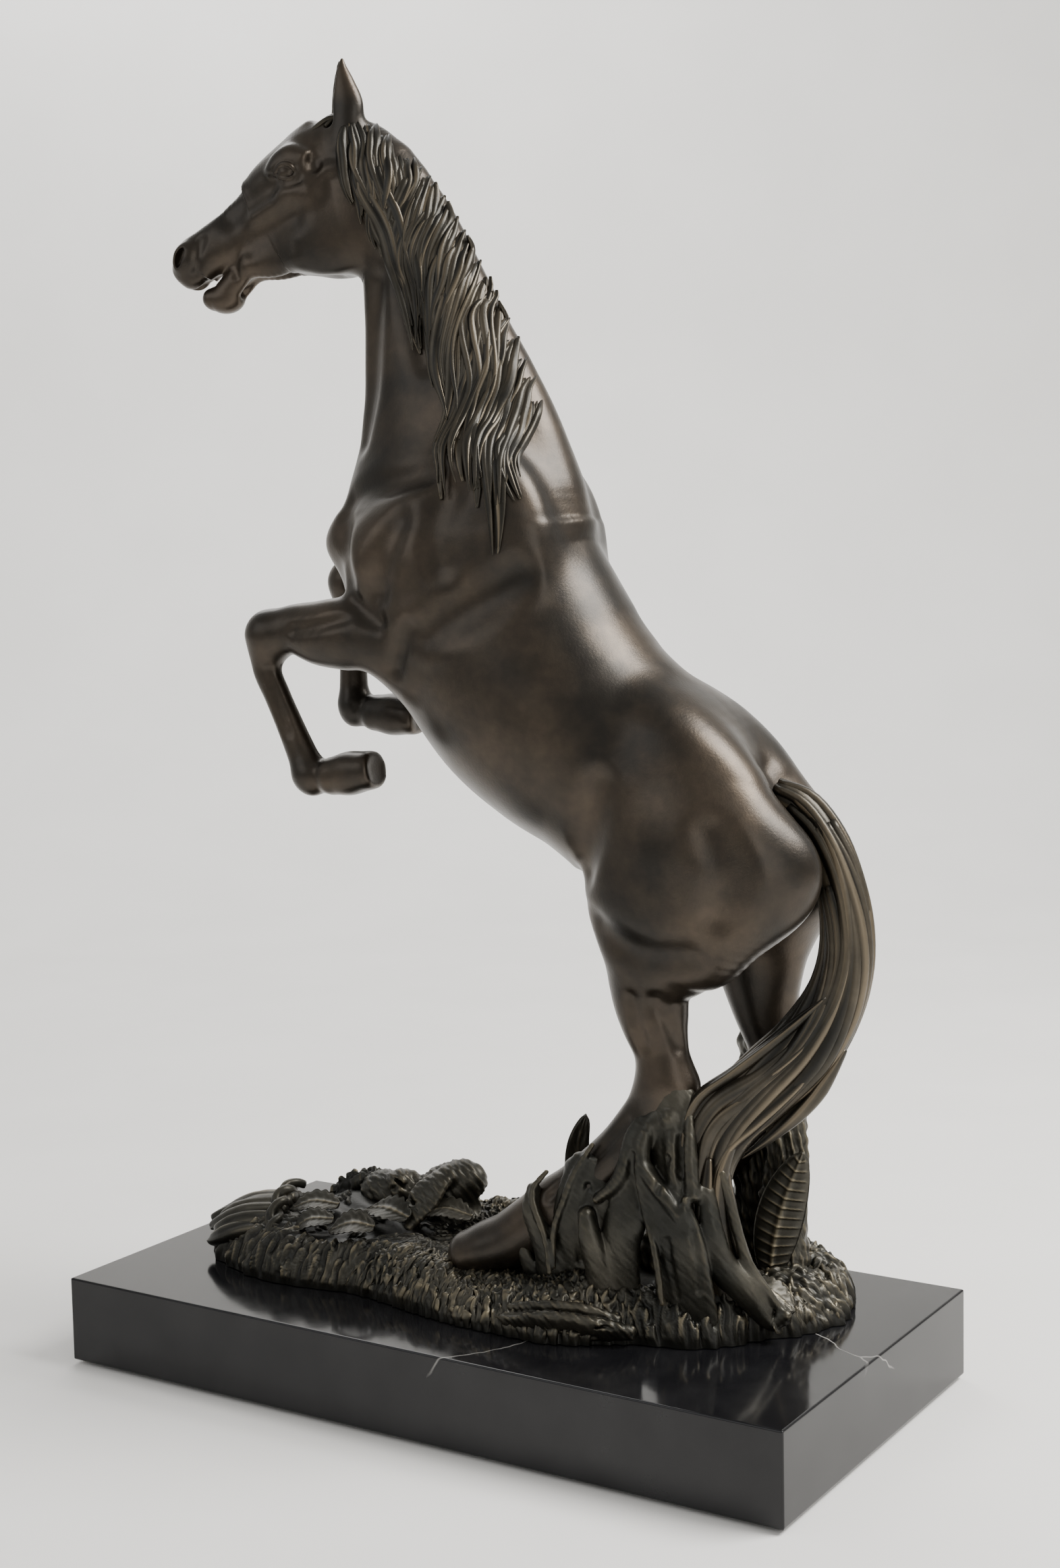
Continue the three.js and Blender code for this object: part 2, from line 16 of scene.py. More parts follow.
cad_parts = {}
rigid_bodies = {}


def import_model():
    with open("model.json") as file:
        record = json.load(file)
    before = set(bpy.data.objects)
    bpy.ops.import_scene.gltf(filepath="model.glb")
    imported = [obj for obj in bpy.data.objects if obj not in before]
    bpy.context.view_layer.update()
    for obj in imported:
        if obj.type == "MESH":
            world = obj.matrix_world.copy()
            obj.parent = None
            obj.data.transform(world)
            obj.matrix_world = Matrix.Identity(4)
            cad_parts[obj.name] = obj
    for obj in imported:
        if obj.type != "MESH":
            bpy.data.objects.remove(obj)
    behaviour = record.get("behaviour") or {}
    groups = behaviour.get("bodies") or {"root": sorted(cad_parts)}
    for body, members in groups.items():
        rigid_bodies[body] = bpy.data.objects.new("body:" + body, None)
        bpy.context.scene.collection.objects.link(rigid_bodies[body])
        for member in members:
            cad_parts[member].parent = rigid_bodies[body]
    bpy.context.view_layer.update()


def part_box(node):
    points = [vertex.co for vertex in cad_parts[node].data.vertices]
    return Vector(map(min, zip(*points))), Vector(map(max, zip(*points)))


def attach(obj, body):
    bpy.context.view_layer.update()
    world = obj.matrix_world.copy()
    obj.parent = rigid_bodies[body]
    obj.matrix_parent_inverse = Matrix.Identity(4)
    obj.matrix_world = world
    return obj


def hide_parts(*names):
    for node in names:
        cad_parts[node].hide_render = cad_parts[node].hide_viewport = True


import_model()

# ------------------------------------------------------------------ driving sizes, mm
# The casting stands turned on the plinth, and the head looks a little to the horse's left.
BRONZE_TURN = math.radians(8)
HEAD_TURN = math.radians(6)
HEAD_PIVOT = -52
# Marks are drawn on the skin from this far out at the sides, and travel at most this far inward.
MARK_START = 78
MARK_TRAVEL = 76
# On the head they are drawn from this far out.
CHEEK_START = 40
# How far a point may move when the skin settles on the exact surface.
SETTLE_LIMIT = 0.6
# A rise of half this above the points around counts as a fully worn ridge on the body.
BODY_PROUD = 3.2
# The lowest that the ground, and the rocks and roots on it, come above the marble.
GROUND_FLOOR = 0.3
ROCK_FLOOR = 1.0
PLINTH_BEVEL = 1.1
# The view: turned and tilted from straight in front of the plinth's long side, metres for the place.
VIEW_AZIMUTH = math.radians(32.548)
VIEW_ELEVATION = math.radians(5.630)
VIEW_ROLL = math.radians(-1.1625)
VIEW_LENS = 49.82
VIEW_PLACE = (0.515780, -0.781662, 0.354672)
# How fine the meshes are: grid steps in mm, rounds of smoothing, and rings and spokes of the ground.
BODY_GRID = 1.0
BODY_ROUNDS = 50
HEAD_GRID = 0.5
BOULDER_GRID = 0.8
LEDGE_GRID = 0.6
STUMP_GRID = 0.8
ROOT_GRID = 0.65
GROUND_RINGS = 210
GROUND_SPOKES = 1500
LAND_PITCH = 0.4
# How much of a distance field is worked out in one go, to save memory.
POINTS_AT_ONCE = 200000
BLOCKS_AT_ONCE = 1500
RNG = random.Random(11)

PLINTH_LOW, PLINTH_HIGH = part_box("marble_plinth")
MARBLE_TOP = PLINTH_HIGH[2]

# Rows are x, y, z, half depth, half width, taken along each limb.
SPINE = [
    (-53, 0, 482, 21, 12.5), (-43, 0, 466, 24, 13.5), (-34.5, 0, 450, 25.5, 15),
    (-28.5, 0, 430, 30, 16.5), (-23.5, 0, 409, 35.5, 19), (-19, 0, 390, 41.5, 22),
    (-15, 0, 368, 48.5, 28), (-13, 0, 346, 55.5, 35), (-12, 0, 326, 59, 40), (-5, 0, 304, 57, 43.5),
    (8, 0, 284, 54.5, 46), (22, 0, 264, 53, 47), (38.5, 0, 248, 50, 46.5), (56, 0, 235, 47, 44.5),
    (74, 0, 221, 47, 43), (86, 0, 206, 44, 40),
]
POLL = [(-66, 0, 496, 12, 10.5), (-58, 0, 496, 13, 11.5), (-50, 0, 488.5, 14.5, 12), (-43, 0, 478, 15.5, 12)]
# Each leg is two chains that meet at the knee or the hock.
FORE_LEFT = [
    [(-24, -25, 282, 21, 15), (-42, -30, 287, 15, 12), (-55, -31, 289, 15.5, 11.5),
     (-68, -30, 289.5, 14.2, 10.5), (-82, -28.5, 291, 11, 9), (-93, -28, 289, 9.5, 9)],
    [(-96.5, -28, 288, 8.5, 8.5), (-97, -28, 274, 6.3, 6), (-92, -28, 262, 5.8, 5.5),
     (-87, -28, 251, 6, 5.5), (-82, -28, 240, 6.5, 6), (-77, -28, 229, 7.5, 7)],
]
FORE_RIGHT = [
    [(-20, 25, 295, 21, 15), (-38, 30, 304, 16, 12), (-54, 30, 310, 15, 11.5),
     (-68, 28.5, 314, 13, 10), (-80, 27, 314, 10, 9)],
    [(-85, 26, 311, 8.5, 8.5), (-85, 26, 300, 6.8, 6.5), (-84.5, 26, 288, 6, 5.5),
     (-84, 26, 272, 6.2, 5.8), (-84, 26, 257, 7, 6.5)],
]
HIND_LEFT = [
    [(99, -17, 226, 22, 15), (98, -22, 207, 38, 24), (95.5, -24, 188, 43.5, 24.5),
     (90, -26, 168, 35.5, 20.5), (82.5, -25, 152, 24, 15.5), (79.5, -24, 140, 17.5, 12),
     (81, -24, 128, 14.5, 11), (84, -24, 115, 11.5, 9.5), (86, -24, 103, 11.5, 9.5)],
    [(87, -24, 103, 11, 9), (80, -25, 90, 12, 9.5), (69, -26, 75, 12, 10.5), (58, -26, 64, 12, 11),
     (47, -27, 54.5, 12, 11.5), (37, -27, 47, 12.5, 12), (27, -27, 38, 13, 12.5),
     (15, -27, 29.5, 12.5, 13), (4, -27, 25, 11.5, 13), (-4, -27, 22, 10, 12)],
]
HIND_RIGHT = [
    [(101, 17, 224, 22, 15), (104, 22, 204, 34, 23), (107, 24, 184, 36, 22), (109, 26, 164, 29, 19),
     (110, 26, 146, 20.5, 13.5), (112, 26, 128, 15, 11), (116, 26, 112, 12, 9.5),
     (119, 26, 100, 11.5, 9.5)],
    [(120, 26, 99, 10.5, 9), (111, 26, 84, 10.5, 8.5), (98, 26, 66, 9.5, 8), (85, 26, 51, 9.5, 8.2),
     (73, 26, 39, 11, 9.5)],
]
# A hoof: pastern point, point of the toe, half depth and half width of the sole.
HOOVES = {
    "fore_left": ((-75, -28, 226), (-49, -28, 230), 9.5, 10.5),
    "fore_right": ((-83, 26, 252), (-55, 26, 250), 9.5, 10.5),
    "hind_right": ((68, 26, 34), (44, 26, 18), 9, 12),
}
# Skull rows in the head's frame: forward, height, half depth, half width.
SKULL = [
    (14, 478, 33, 13.5), (23.7, 476, 32.5, 15.5), (31.9, 473.4, 29.5, 16), (42.2, 470, 26.2, 14.2),
    (49, 467, 23.2, 12.2), (54.9, 464, 20, 11), (67.8, 462.4, 13, 9.5), (79, 457.9, 11, 9),
    (85.5, 454, 11.2, 9.5), (88.4, 450.8, 9, 8.2),
]
# The lower jaw in the same frame, from its hinge to the chin.
LOWER_JAW = [(58, 452, 6, 8), (66, 444, 7, 7.5), (73, 438.5, 6.5, 7), (78.5, 437.5, 5, 6.5)]
LEFT_EAR = [
    (9, 498, 6, 5.4), (9, 507, 7.2, 5.4), (9, 515, 7.4, 5), (9.8, 523, 5, 3.8), (10.4, 529, 2.7, 2.3),
    (10.2, 533, 0.8, 0.8),
]
RIGHT_EAR = [
    (14, 498, 6, 5.4), (15, 507, 7, 5.4), (16, 516, 7.2, 5), (17.4, 525, 5, 3.8), (18.4, 532, 2.6, 2.2),
    (18.7, 536.2, 0.8, 0.8),
]
# Where the castings part: a point and a direction, a place along x, a height.
HEAD_CUT = ((-37, 0, 452), (-0.5, 0, 0.86))
NECK_CUT = ((-14, 0, 352), (-0.12, 0, 0.99))
FORELEG_CUT_X = -73.5
HIND_LEG_CUT_Z = 154

# The ground seen from above, all the way round from the nose end.
GROUND_OUTLINE = [
    (-149, 0), (-146, -11), (-126, -27), (-100, -37), (-80, -38), (-58, -38), (-38, -44), (-20, -51),
    (4, -58), (24, -61), (45, -64), (62, -60), (76, -53), (92, -50), (110, -46), (127, -29), (143, -14),
    (152, 2), (151, 22), (143, 44), (122, 61), (94, 65), (60, 61), (25, 55), (-10, 52), (-45, 50),
    (-80, 44), (-112, 34), (-138, 18),
]
# The stump's trunk: x, y, height, half depth, half width.
STUMP = [
    (108, 38, 8, 18, 17), (107, 38, 26, 15, 15), (108, 38, 60, 13.5, 13), (109, 38, 95, 13, 13),
    (111, 38, 130, 12, 12), (113, 38, 156, 9, 9),
]


# ------------------------------------------------------------------ frames
def to_world(points):
    """Bronze frame in mm to the shared frame in metres."""
    p = np.atleast_2d(np.asarray(points, float))
    c, s = math.cos(BRONZE_TURN), math.sin(BRONZE_TURN)
    turned = np.stack([p[:, 0] * c - p[:, 1] * s, p[:, 0] * s + p[:, 1] * c, p[:, 2]], 1)
    return turned * 0.001 + np.array([0, 0, MARBLE_TOP])


def on_head(forward, left, height):
    """A place on the head, given forward of the poll, to the horse's left, and above the marble."""
    c, s = math.cos(HEAD_TURN), math.sin(HEAD_TURN)
    return (HEAD_PIVOT - forward * c + left * s, -forward * s - left * c, height)


HEAD_LEFT = (math.sin(HEAD_TURN), -math.cos(HEAD_TURN), 0)
HEAD_FORWARD = (-math.cos(HEAD_TURN), -math.sin(HEAD_TURN), 0)


def unit(v):
    """The direction of v, one long."""
    v = np.asarray(v, float)
    return v / np.linalg.norm(v)


def smooth_rows(rows, steps):
    """A Catmull-Rom line through the rows, `steps` for each row."""
    p = np.asarray(rows, float)
    q = np.vstack([2 * p[0] - p[1], p, 2 * p[-1] - p[-2]])
    out = []
    for i in range(1, len(q) - 2):
        for k in range(steps):
            t = k / steps
            out.append(0.5 * (2 * q[i] + (q[i + 1] - q[i - 1]) * t
                              + (2 * q[i - 1] - 5 * q[i] + 4 * q[i + 1] - q[i + 2]) * t * t
                              + (3 * q[i] - q[i - 1] - 3 * q[i + 1] + q[i + 2]) * t ** 3))
    out.append(p[-1])
    return np.array(out)


# ------------------------------------------------------------------ distance fields
class Limb:
    """A smooth chain of flattened round sections. Negative distance is inside."""

    def __init__(self, rows, blend, side=(0, 1, 0), power=2.0, steps=8):
        s = smooth_rows(rows, steps if len(rows) > 1 else 1)
        s[:, 3:5] = np.maximum(s[:, 3:5], 0.3)
        self.centre, self.a, self.b = s[:, :3], s[:, 3], s[:, 4]
        along = np.gradient(self.centre, axis=0)
        along /= np.linalg.norm(along, axis=1)[:, None]
        side = unit(side)
        if np.abs(along @ side).max() > 0.97:
            side = unit(side + np.array([0.9, 0.1, 0.4]))
        across = side - along * (along @ side)[:, None]
        across /= np.linalg.norm(across, axis=1)[:, None]
        self.along, self.across, self.normal = along, across, np.cross(across, along)
        self.blend, self.power = blend, power

    def box(self, margin):
        """Lowest and highest corners, with a margin all round."""
        r = np.maximum(self.a, self.b)[:, None] + margin
        return (self.centre - r).min(0), (self.centre + r).max(0)

    def distance(self, p):
        """Distance from the nearest section, shared with the next one along."""
        out = np.empty(len(p))
        for start in range(0, len(p), POINTS_AT_ONCE):
            q = p[start:start + POINTS_AT_ONCE]
            c = self.centre
            d2 = (c * c).sum(1)[None, :] - 2 * q @ c.T
            near = d2.argmin(1)
            shift = ((q - c[near]) * self.along[near]).sum(1)
            ahead = np.clip(near + np.where(shift > 0, 1, -1), 0, len(c) - 1)
            gap = np.linalg.norm(c[ahead] - c[near], axis=1)
            t = np.clip(np.abs(shift) / np.maximum(gap, 1e-6), 0, 0.5) * (gap > 1e-6)

            def mixed(values):
                u = t[:, None] if values.ndim == 2 else t
                return values[near] * (1 - u) + values[ahead] * u

            r = q - mixed(c)
            a, b = mixed(self.a), mixed(self.b)
            n, w, along = mixed(self.normal), mixed(self.across), mixed(self.along)
            end = np.minimum(a, b)
            parts = [np.abs((r * n).sum(1)) / a, np.abs((r * w).sum(1)) / b,
                     np.abs((r * along).sum(1)) / end]
            k = sum(part ** self.power for part in parts) ** (1 / self.power)
            length = np.linalg.norm(r, axis=1)
            d = np.where(k > 1e-6, length * (1 - 1 / np.maximum(k, 1e-6)), -end)
            out[start:start + POINTS_AT_ONCE] = np.maximum(d, -end)
        return out


class Blob:
    """An ellipsoid, turned so that its first two radii lie along x and y."""

    def __init__(self, centre, radii, blend, x=(1, 0, 0), y=(0, 1, 0)):
        first = unit(x)
        second = unit(np.array(y, float) - (np.array(y, float) @ first) * first)
        self.axes = np.array([first, second, np.cross(first, second)])
        self.centre, self.radii, self.blend = np.array(centre, float), np.array(radii, float), blend

    def box(self, margin):
        """Lowest and highest corners, with a margin all round."""
        r = self.radii.max() + margin
        return self.centre - r, self.centre + r

    def distance(self, p):
        """A close guess at the distance, exact on the surface."""
        q = (p - self.centre) @ self.axes.T
        k0 = np.sqrt(((q / self.radii) ** 2).sum(1))
        k1 = np.sqrt(((q / self.radii ** 2) ** 2).sum(1))
        return np.where(k1 > 1e-9, k0 * (k0 - 1) / np.maximum(k1, 1e-9), -self.radii.min())


def soft_min(a, b, k):
    """The lesser of two distances, rounded where they come within k of each other."""
    h = np.maximum(k - np.abs(a - b), 0) / k
    return np.minimum(a, b) - h * h * k * 0.25


def field(shapes, p):
    """Signed distance of all the shapes at points p: "+" joins and "-" cuts, each with its own blend."""
    d = np.full(len(p), 60.0)
    for sign, shape in shapes:
        low, high = shape.box(8 + shape.blend)
        m = np.all((p > low) & (p < high), axis=1)
        if m.any():
            v = shape.distance(p[m])
            d[m] = soft_min(d[m], v, shape.blend) if sign == "+" else -soft_min(-d[m], v, shape.blend)
    return d


def field_grid(shapes, low, high, h, block=8):
    """The field on a regular grid, worked out in full only in blocks near the surface."""
    low = np.array(low, float)
    count = np.ceil((np.array(high) - low) / h / block).astype(int)
    axes = [low[i] + (np.arange(count[i]) + 0.5) * block * h for i in range(3)]
    centres = np.stack(np.meshgrid(*axes, indexing="ij"), -1).reshape(-1, 3)
    rough = field(shapes, centres)
    near = np.abs(rough) < (block * h * 0.87 + 2.5) * 1.3
    grid = np.empty((*count, block, block, block), np.float32)
    grid[:] = rough.reshape(*count, 1, 1, 1)
    index = np.argwhere(near.reshape(count))
    o = (np.arange(block) + 0.5) * h
    offsets = np.stack(np.meshgrid(o, o, o, indexing="ij"), -1)
    for start in range(0, len(index), BLOCKS_AT_ONCE):
        i = index[start:start + BLOCKS_AT_ONCE]
        p = (low + i * block * h)[:, None, None, None, :] + offsets
        values = field(shapes, p.reshape(-1, 3))
        grid[i[:, 0], i[:, 1], i[:, 2]] = values.reshape(len(i), block, block, block)
    return grid.transpose(0, 3, 1, 4, 2, 5).reshape(count * block), low + 0.5 * h


def surface_of(values, low, h):
    """Points and four-sided faces of the zero level, one point in each cell it crosses."""
    inside = values < 0
    shape = np.array(values.shape) - 1
    total = np.zeros(tuple(shape), np.int8)
    corners = [(x, y, z) for z in (0, 1) for y in (0, 1) for x in (0, 1)]
    for x, y, z in corners:
        total += inside[x:shape[0] + x, y:shape[1] + y, z:shape[2] + z]
    cells = np.argwhere((total > 0) & (total < 8))
    number = np.full(total.shape, -1, np.int32)
    number[tuple(cells.T)] = np.arange(len(cells))
    sums, hits = np.zeros((len(cells), 3)), np.zeros(len(cells))
    for corner in corners:
        for axis in range(3):
            if corner[axis]:
                continue
            other = list(corner)
            other[axis] = 1
            va = values[tuple((cells + corner).T)]
            vb = values[tuple((cells + other).T)]
            cut = (va < 0) != (vb < 0)
            p = np.tile(np.array(corner, float), (len(cells), 1))
            p[:, axis] += np.where(cut, va / (va - vb + 1e-20), 0)
            sums[cut] += p[cut]
            hits[cut] += 1
    points = low + h * (cells + sums / hits[:, None])
    faces = []
    for axis in range(3):
        o1, o2 = [i for i in range(3) if i != axis]
        first = np.take(inside, range(inside.shape[axis] - 1), axis)
        second = np.take(inside, range(1, inside.shape[axis]), axis)
        e = np.argwhere(first != second)
        e = e[(e[:, o1] > 0) & (e[:, o2] > 0)]
        e = e[(e[:, o1] < total.shape[o1]) & (e[:, o2] < total.shape[o2])]
        quad = []
        for d1, d2 in ((0, 0), (1, 0), (1, 1), (0, 1)):
            q = e.copy()
            q[:, o1] -= d1
            q[:, o2] -= d2
            quad.append(number[tuple(q.T)])
        quad = np.stack(quad, 1)
        flip = first[tuple(e.T)] if axis != 1 else ~first[tuple(e.T)]
        quad[~flip] = quad[~flip][:, ::-1]
        faces.append(quad)
    return points, np.vstack(faces)


def smoothed(points, faces, rounds):
    """Evens out the points with a shrink-free pair of steps for each round."""
    pairs = np.vstack([faces[:, [k, (k + 1) % 4]] for k in range(4)])
    pairs = np.unique(np.sort(pairs, 1), axis=0)
    degree = np.bincount(pairs.ravel(), minlength=len(points))[:, None]
    for _ in range(rounds):
        for step in (0.5, -0.52):
            total = np.zeros_like(points)
            for axis in range(3):
                total[:, axis] = (np.bincount(pairs[:, 0], points[pairs[:, 1], axis], len(points))
                                  + np.bincount(pairs[:, 1], points[pairs[:, 0], axis], len(points)))
            points = points + step * (total / np.maximum(degree, 1) - points)
    return points


def settled(shapes, points):
    """Moves points along the field's slope to its zero level, by at most SETTLE_LIMIT."""
    e = 0.25
    d = field(shapes, points)
    slope = np.stack([field(shapes, points + e * np.eye(3)[i]) - field(shapes, points - e * np.eye(3)[i])
                      for i in range(3)], 1) / (2 * e)
    size = np.linalg.norm(slope, axis=1)
    step = np.clip(d / np.maximum(size, 0.3), -SETTLE_LIMIT, SETTLE_LIMIT)
    return points - slope / np.maximum(size, 1e-6)[:, None] * step[:, None]


def surface_normals(points, faces):
    """The outward direction at each point of a mesh of four-sided faces."""
    corner = points[faces]
    normal = np.cross(corner[:, 2] - corner[:, 0], corner[:, 3] - corner[:, 1])
    total = np.zeros_like(points)
    for k in range(4):
        for axis in range(3):
            total[:, axis] += np.bincount(faces[:, k], normal[:, axis], len(points))
    return total / np.maximum(np.linalg.norm(total, axis=1), 1e-9)[:, None]


def skin(shapes, low, high, h, rounds):
    """The surface of the shapes inside a box, as points and faces that look outward."""
    values, start = field_grid(shapes, low, high, h)
    points, faces = surface_of(values, start, h)
    points = smoothed(settled(shapes, points), faces, rounds)
    corner = points[faces]
    volume = np.einsum("ij,ij->i", corner[:, 0], np.cross(corner[:, 1], corner[:, 2])).sum()
    return points, faces if volume > 0 else faces[:, ::-1]


# ------------------------------------------------------------------ meshes
def new_mesh(name, points, faces):
    """A smoothly shaded mesh in metres, from points in the bronze's frame."""
    mesh = bpy.data.meshes.new(name)
    mesh.from_pydata([tuple(p) for p in to_world(points)], [], [tuple(int(i) for i in f) for f in faces])
    mesh.shade_smooth()
    return mesh


def new_object(name, mesh, material):
    """Puts a mesh with one material in the scene."""
    obj = bpy.data.objects.new(name, mesh)
    bpy.context.collection.objects.link(obj)
    mesh.materials.clear()
    mesh.materials.append(material)
    return obj


def set_wear(mesh, values):
    """Stores how worn each point is, for the bronze to read."""
    layer = mesh.attributes.new("wear", "FLOAT", "POINT")
    layer.data.foreach_set("value", values)


def piece(name, points, faces, material, replaced=(), wear=None, proud=2.4):
    """A named mesh riding on the statue, with its finish and the CAD nodes it stands for."""
    mesh = new_mesh(name, points, faces)
    mesh.validate()
    obj = new_object(name, mesh, material)
    set_wear(mesh, wear if wear is not None else ridge_wear(mesh, proud))
    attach(obj, "root")
    if replaced:
        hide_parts(*replaced)
    return obj


def ridge_wear(mesh, scale):
    """How far each point stands proud of its neighbours, from 0 in a groove to 1 on a ridge."""
    n = len(mesh.vertices)
    co, normal = np.empty(n * 3), np.empty(n * 3)
    mesh.vertices.foreach_get("co", co)
    mesh.vertices.foreach_get("normal", normal)
    co, normal = co.reshape(-1, 3) * 1000, normal.reshape(-1, 3)
    pairs = np.empty(len(mesh.edges) * 2, np.int32)
    mesh.edges.foreach_get("vertices", pairs)
    pairs = pairs.reshape(-1, 2)
    degree = np.maximum(np.bincount(pairs.ravel(), minlength=n), 1)

    def around(values):
        return (np.bincount(pairs[:, 0], values[pairs[:, 1]], n)
                + np.bincount(pairs[:, 1], values[pairs[:, 0]], n)) / degree

    wide = co
    for _ in range(6):
        wide = np.stack([around(wide[:, axis]) for axis in range(3)], 1)
    proud = ((co - wide) * normal).sum(1)
    return np.clip(0.5 + proud / scale, 0, 1).astype(np.float32)


def joined_meshes(parts):
    """One list of points, faces and wear from many."""
    points, faces, wear, count = [], [], [], 0
    for p, f, w in parts:
        points.append(p)
        faces += [tuple(i + count for i in face) for face in f]
        wear.append(w)
        count += len(p)
    return np.vstack(points), faces, np.concatenate(wear).astype(np.float32)


def joined_piece(name, parts, material):
    """One piece made of many closed parts."""
    points, faces, wear = joined_meshes(parts)
    piece(name, points, faces, material, wear=wear)


# Waves of the rough surfaces: how many there are in 100 mm along x, y and z.
BARK_WAVES = [(22, 5, 2), (17, 14, 4), (31, 9, 7), (12, 25, 3), (44, 20, 9), (9, 6, 14)]
ROCK_WAVES = [(14, 9, 17), (21, 17, 8), (9, 26, 19), (33, 12, 25), (27, 31, 36)]


def roughened(points, faces, amount, waves):
    """Moves points in and out by a sum of bent waves."""
    shift = np.zeros(len(points))
    for k, wave in enumerate(waves):
        bend = 1.3 * np.sin(points[:, 2] * 0.11 + k * 2.1) + 0.8 * np.sin(points[:, 0] * 0.23 + k)
        shift += np.sin(2 * math.pi * (points @ np.array(wave)) / 100 + bend * 1.5 + k * 1.7)
    return points + surface_normals(points, faces) * (amount * shift / math.sqrt(len(waves)))[:, None]


def rough_piece(name, shapes, box, grid, rounds, amount, proud, replaced=(), waves=ROCK_WAVES,
                floor=ROCK_FLOOR):
    """A rough bronze casting grown from shapes inside a box, and kept above the marble."""
    points, faces = skin(shapes, *box, grid, rounds)
    points = roughened(points, faces, amount, waves)
    points[:, 2] = np.maximum(points[:, 2], floor)
    piece(name, points, faces, GROUND_BRONZE, replaced, proud=proud)


# ------------------------------------------------------------------ materials
def new_material(name):
    """An empty node material: the material, its nodes, its links and its shader."""
    material = bpy.data.materials.new(name)
    material.use_nodes = True
    nodes = material.node_tree.nodes
    return material, nodes, material.node_tree.links, nodes["Principled BSDF"]


def noise(nodes, links, scale, detail=4.0, stretch=None):
    """A noise texture in object space; scale is in waves for each metre."""
    place = nodes.new("ShaderNodeTexCoord")
    texture = nodes.new("ShaderNodeTexNoise")
    texture.inputs["Scale"].default_value = scale
    texture.inputs["Detail"].default_value = detail
    if stretch:
        mapping = nodes.new("ShaderNodeMapping")
        mapping.inputs["Scale"].default_value = stretch
        links.new(place.outputs["Object"], mapping.inputs["Vector"])
        links.new(mapping.outputs["Vector"], texture.inputs["Vector"])
    else:
        links.new(place.outputs["Object"], texture.inputs["Vector"])
    return texture.outputs["Fac"]


def ramp(nodes, links, value, stops):
    """A colour ramp fed by value. Stops are position and colour, or position and grey."""
    node = nodes.new("ShaderNodeValToRGB")
    while len(node.color_ramp.elements) < len(stops):
        node.color_ramp.elements.new(0.5)
    for element, (position, colour) in zip(node.color_ramp.elements, stops):
        element.position = position
        element.color = (*colour, 1) if isinstance(colour, tuple) else (colour, colour, colour, 1)
    links.new(value, node.inputs["Fac"])
    return node.outputs["Color"]


def mixed_colour(nodes, links, factor, first, second):
    """Two colours mixed by factor. Each is the output of a node or a plain colour."""
    node = nodes.new("ShaderNodeMix")
    node.data_type = "RGBA"
    links.new(factor, node.inputs["Factor"])
    for socket, colour in (("A", first), ("B", second)):
        if isinstance(colour, tuple):
            node.inputs[socket].default_value = (*colour, 1)
        else:
            links.new(colour, node.inputs[socket])
    return node.outputs["Result"]


def bump(nodes, links, shader, height, strength, distance):
    """Fine relief in the shader's normal."""
    node = nodes.new("ShaderNodeBump")
    node.inputs["Strength"].default_value = strength
    node.inputs["Distance"].default_value = distance
    links.new(height, node.inputs["Height"])
    links.new(node.outputs["Normal"], shader.inputs["Normal"])


def bronze(name, dark, brown, worn, wear_from, rough, coat):
    """Patinated and waxed bronze: dark in hollows, brown on the flats, bare metal on worn ridges."""
    material, nodes, links, shader = new_material(name)
    wear = nodes.new("ShaderNodeAttribute")
    wear.attribute_name = "wear"
    mottle = ramp(nodes, links, noise(nodes, links, 26), [(0.36, dark), (0.62, brown)])
    fine = ramp(nodes, links, noise(nodes, links, 240, 6), [(0.35, 0.72), (0.7, 1.0)])
    flats = nodes.new("ShaderNodeMix")
    flats.data_type = "RGBA"
    flats.blend_type = "MULTIPLY"
    flats.inputs["Factor"].default_value = 0.7
    links.new(mottle, flats.inputs["A"])
    links.new(fine, flats.inputs["B"])
    low = ramp(nodes, links, wear.outputs["Fac"], [(0.12, 0.0), (0.46, 1.0)])
    high = ramp(nodes, links, wear.outputs["Fac"], [(wear_from, 0.0), (1.0, 1.0)])
    patina = mixed_colour(nodes, links, low, tuple(c * 0.35 for c in dark), flats.outputs["Result"])
    colour = mixed_colour(nodes, links, high, patina, worn)
    links.new(colour, shader.inputs["Base Color"])
    shine = ramp(nodes, links, noise(nodes, links, 70, 5), [(0.3, rough[0]), (0.7, rough[1])])
    links.new(shine, shader.inputs["Roughness"])
    shader.inputs["Metallic"].default_value = 0.8
    shader.inputs["Coat Weight"].default_value = coat
    shader.inputs["Coat Roughness"].default_value = 0.32
    bump(nodes, links, shader, noise(nodes, links, 900, 5), 0.22, 0.0004)
    return material


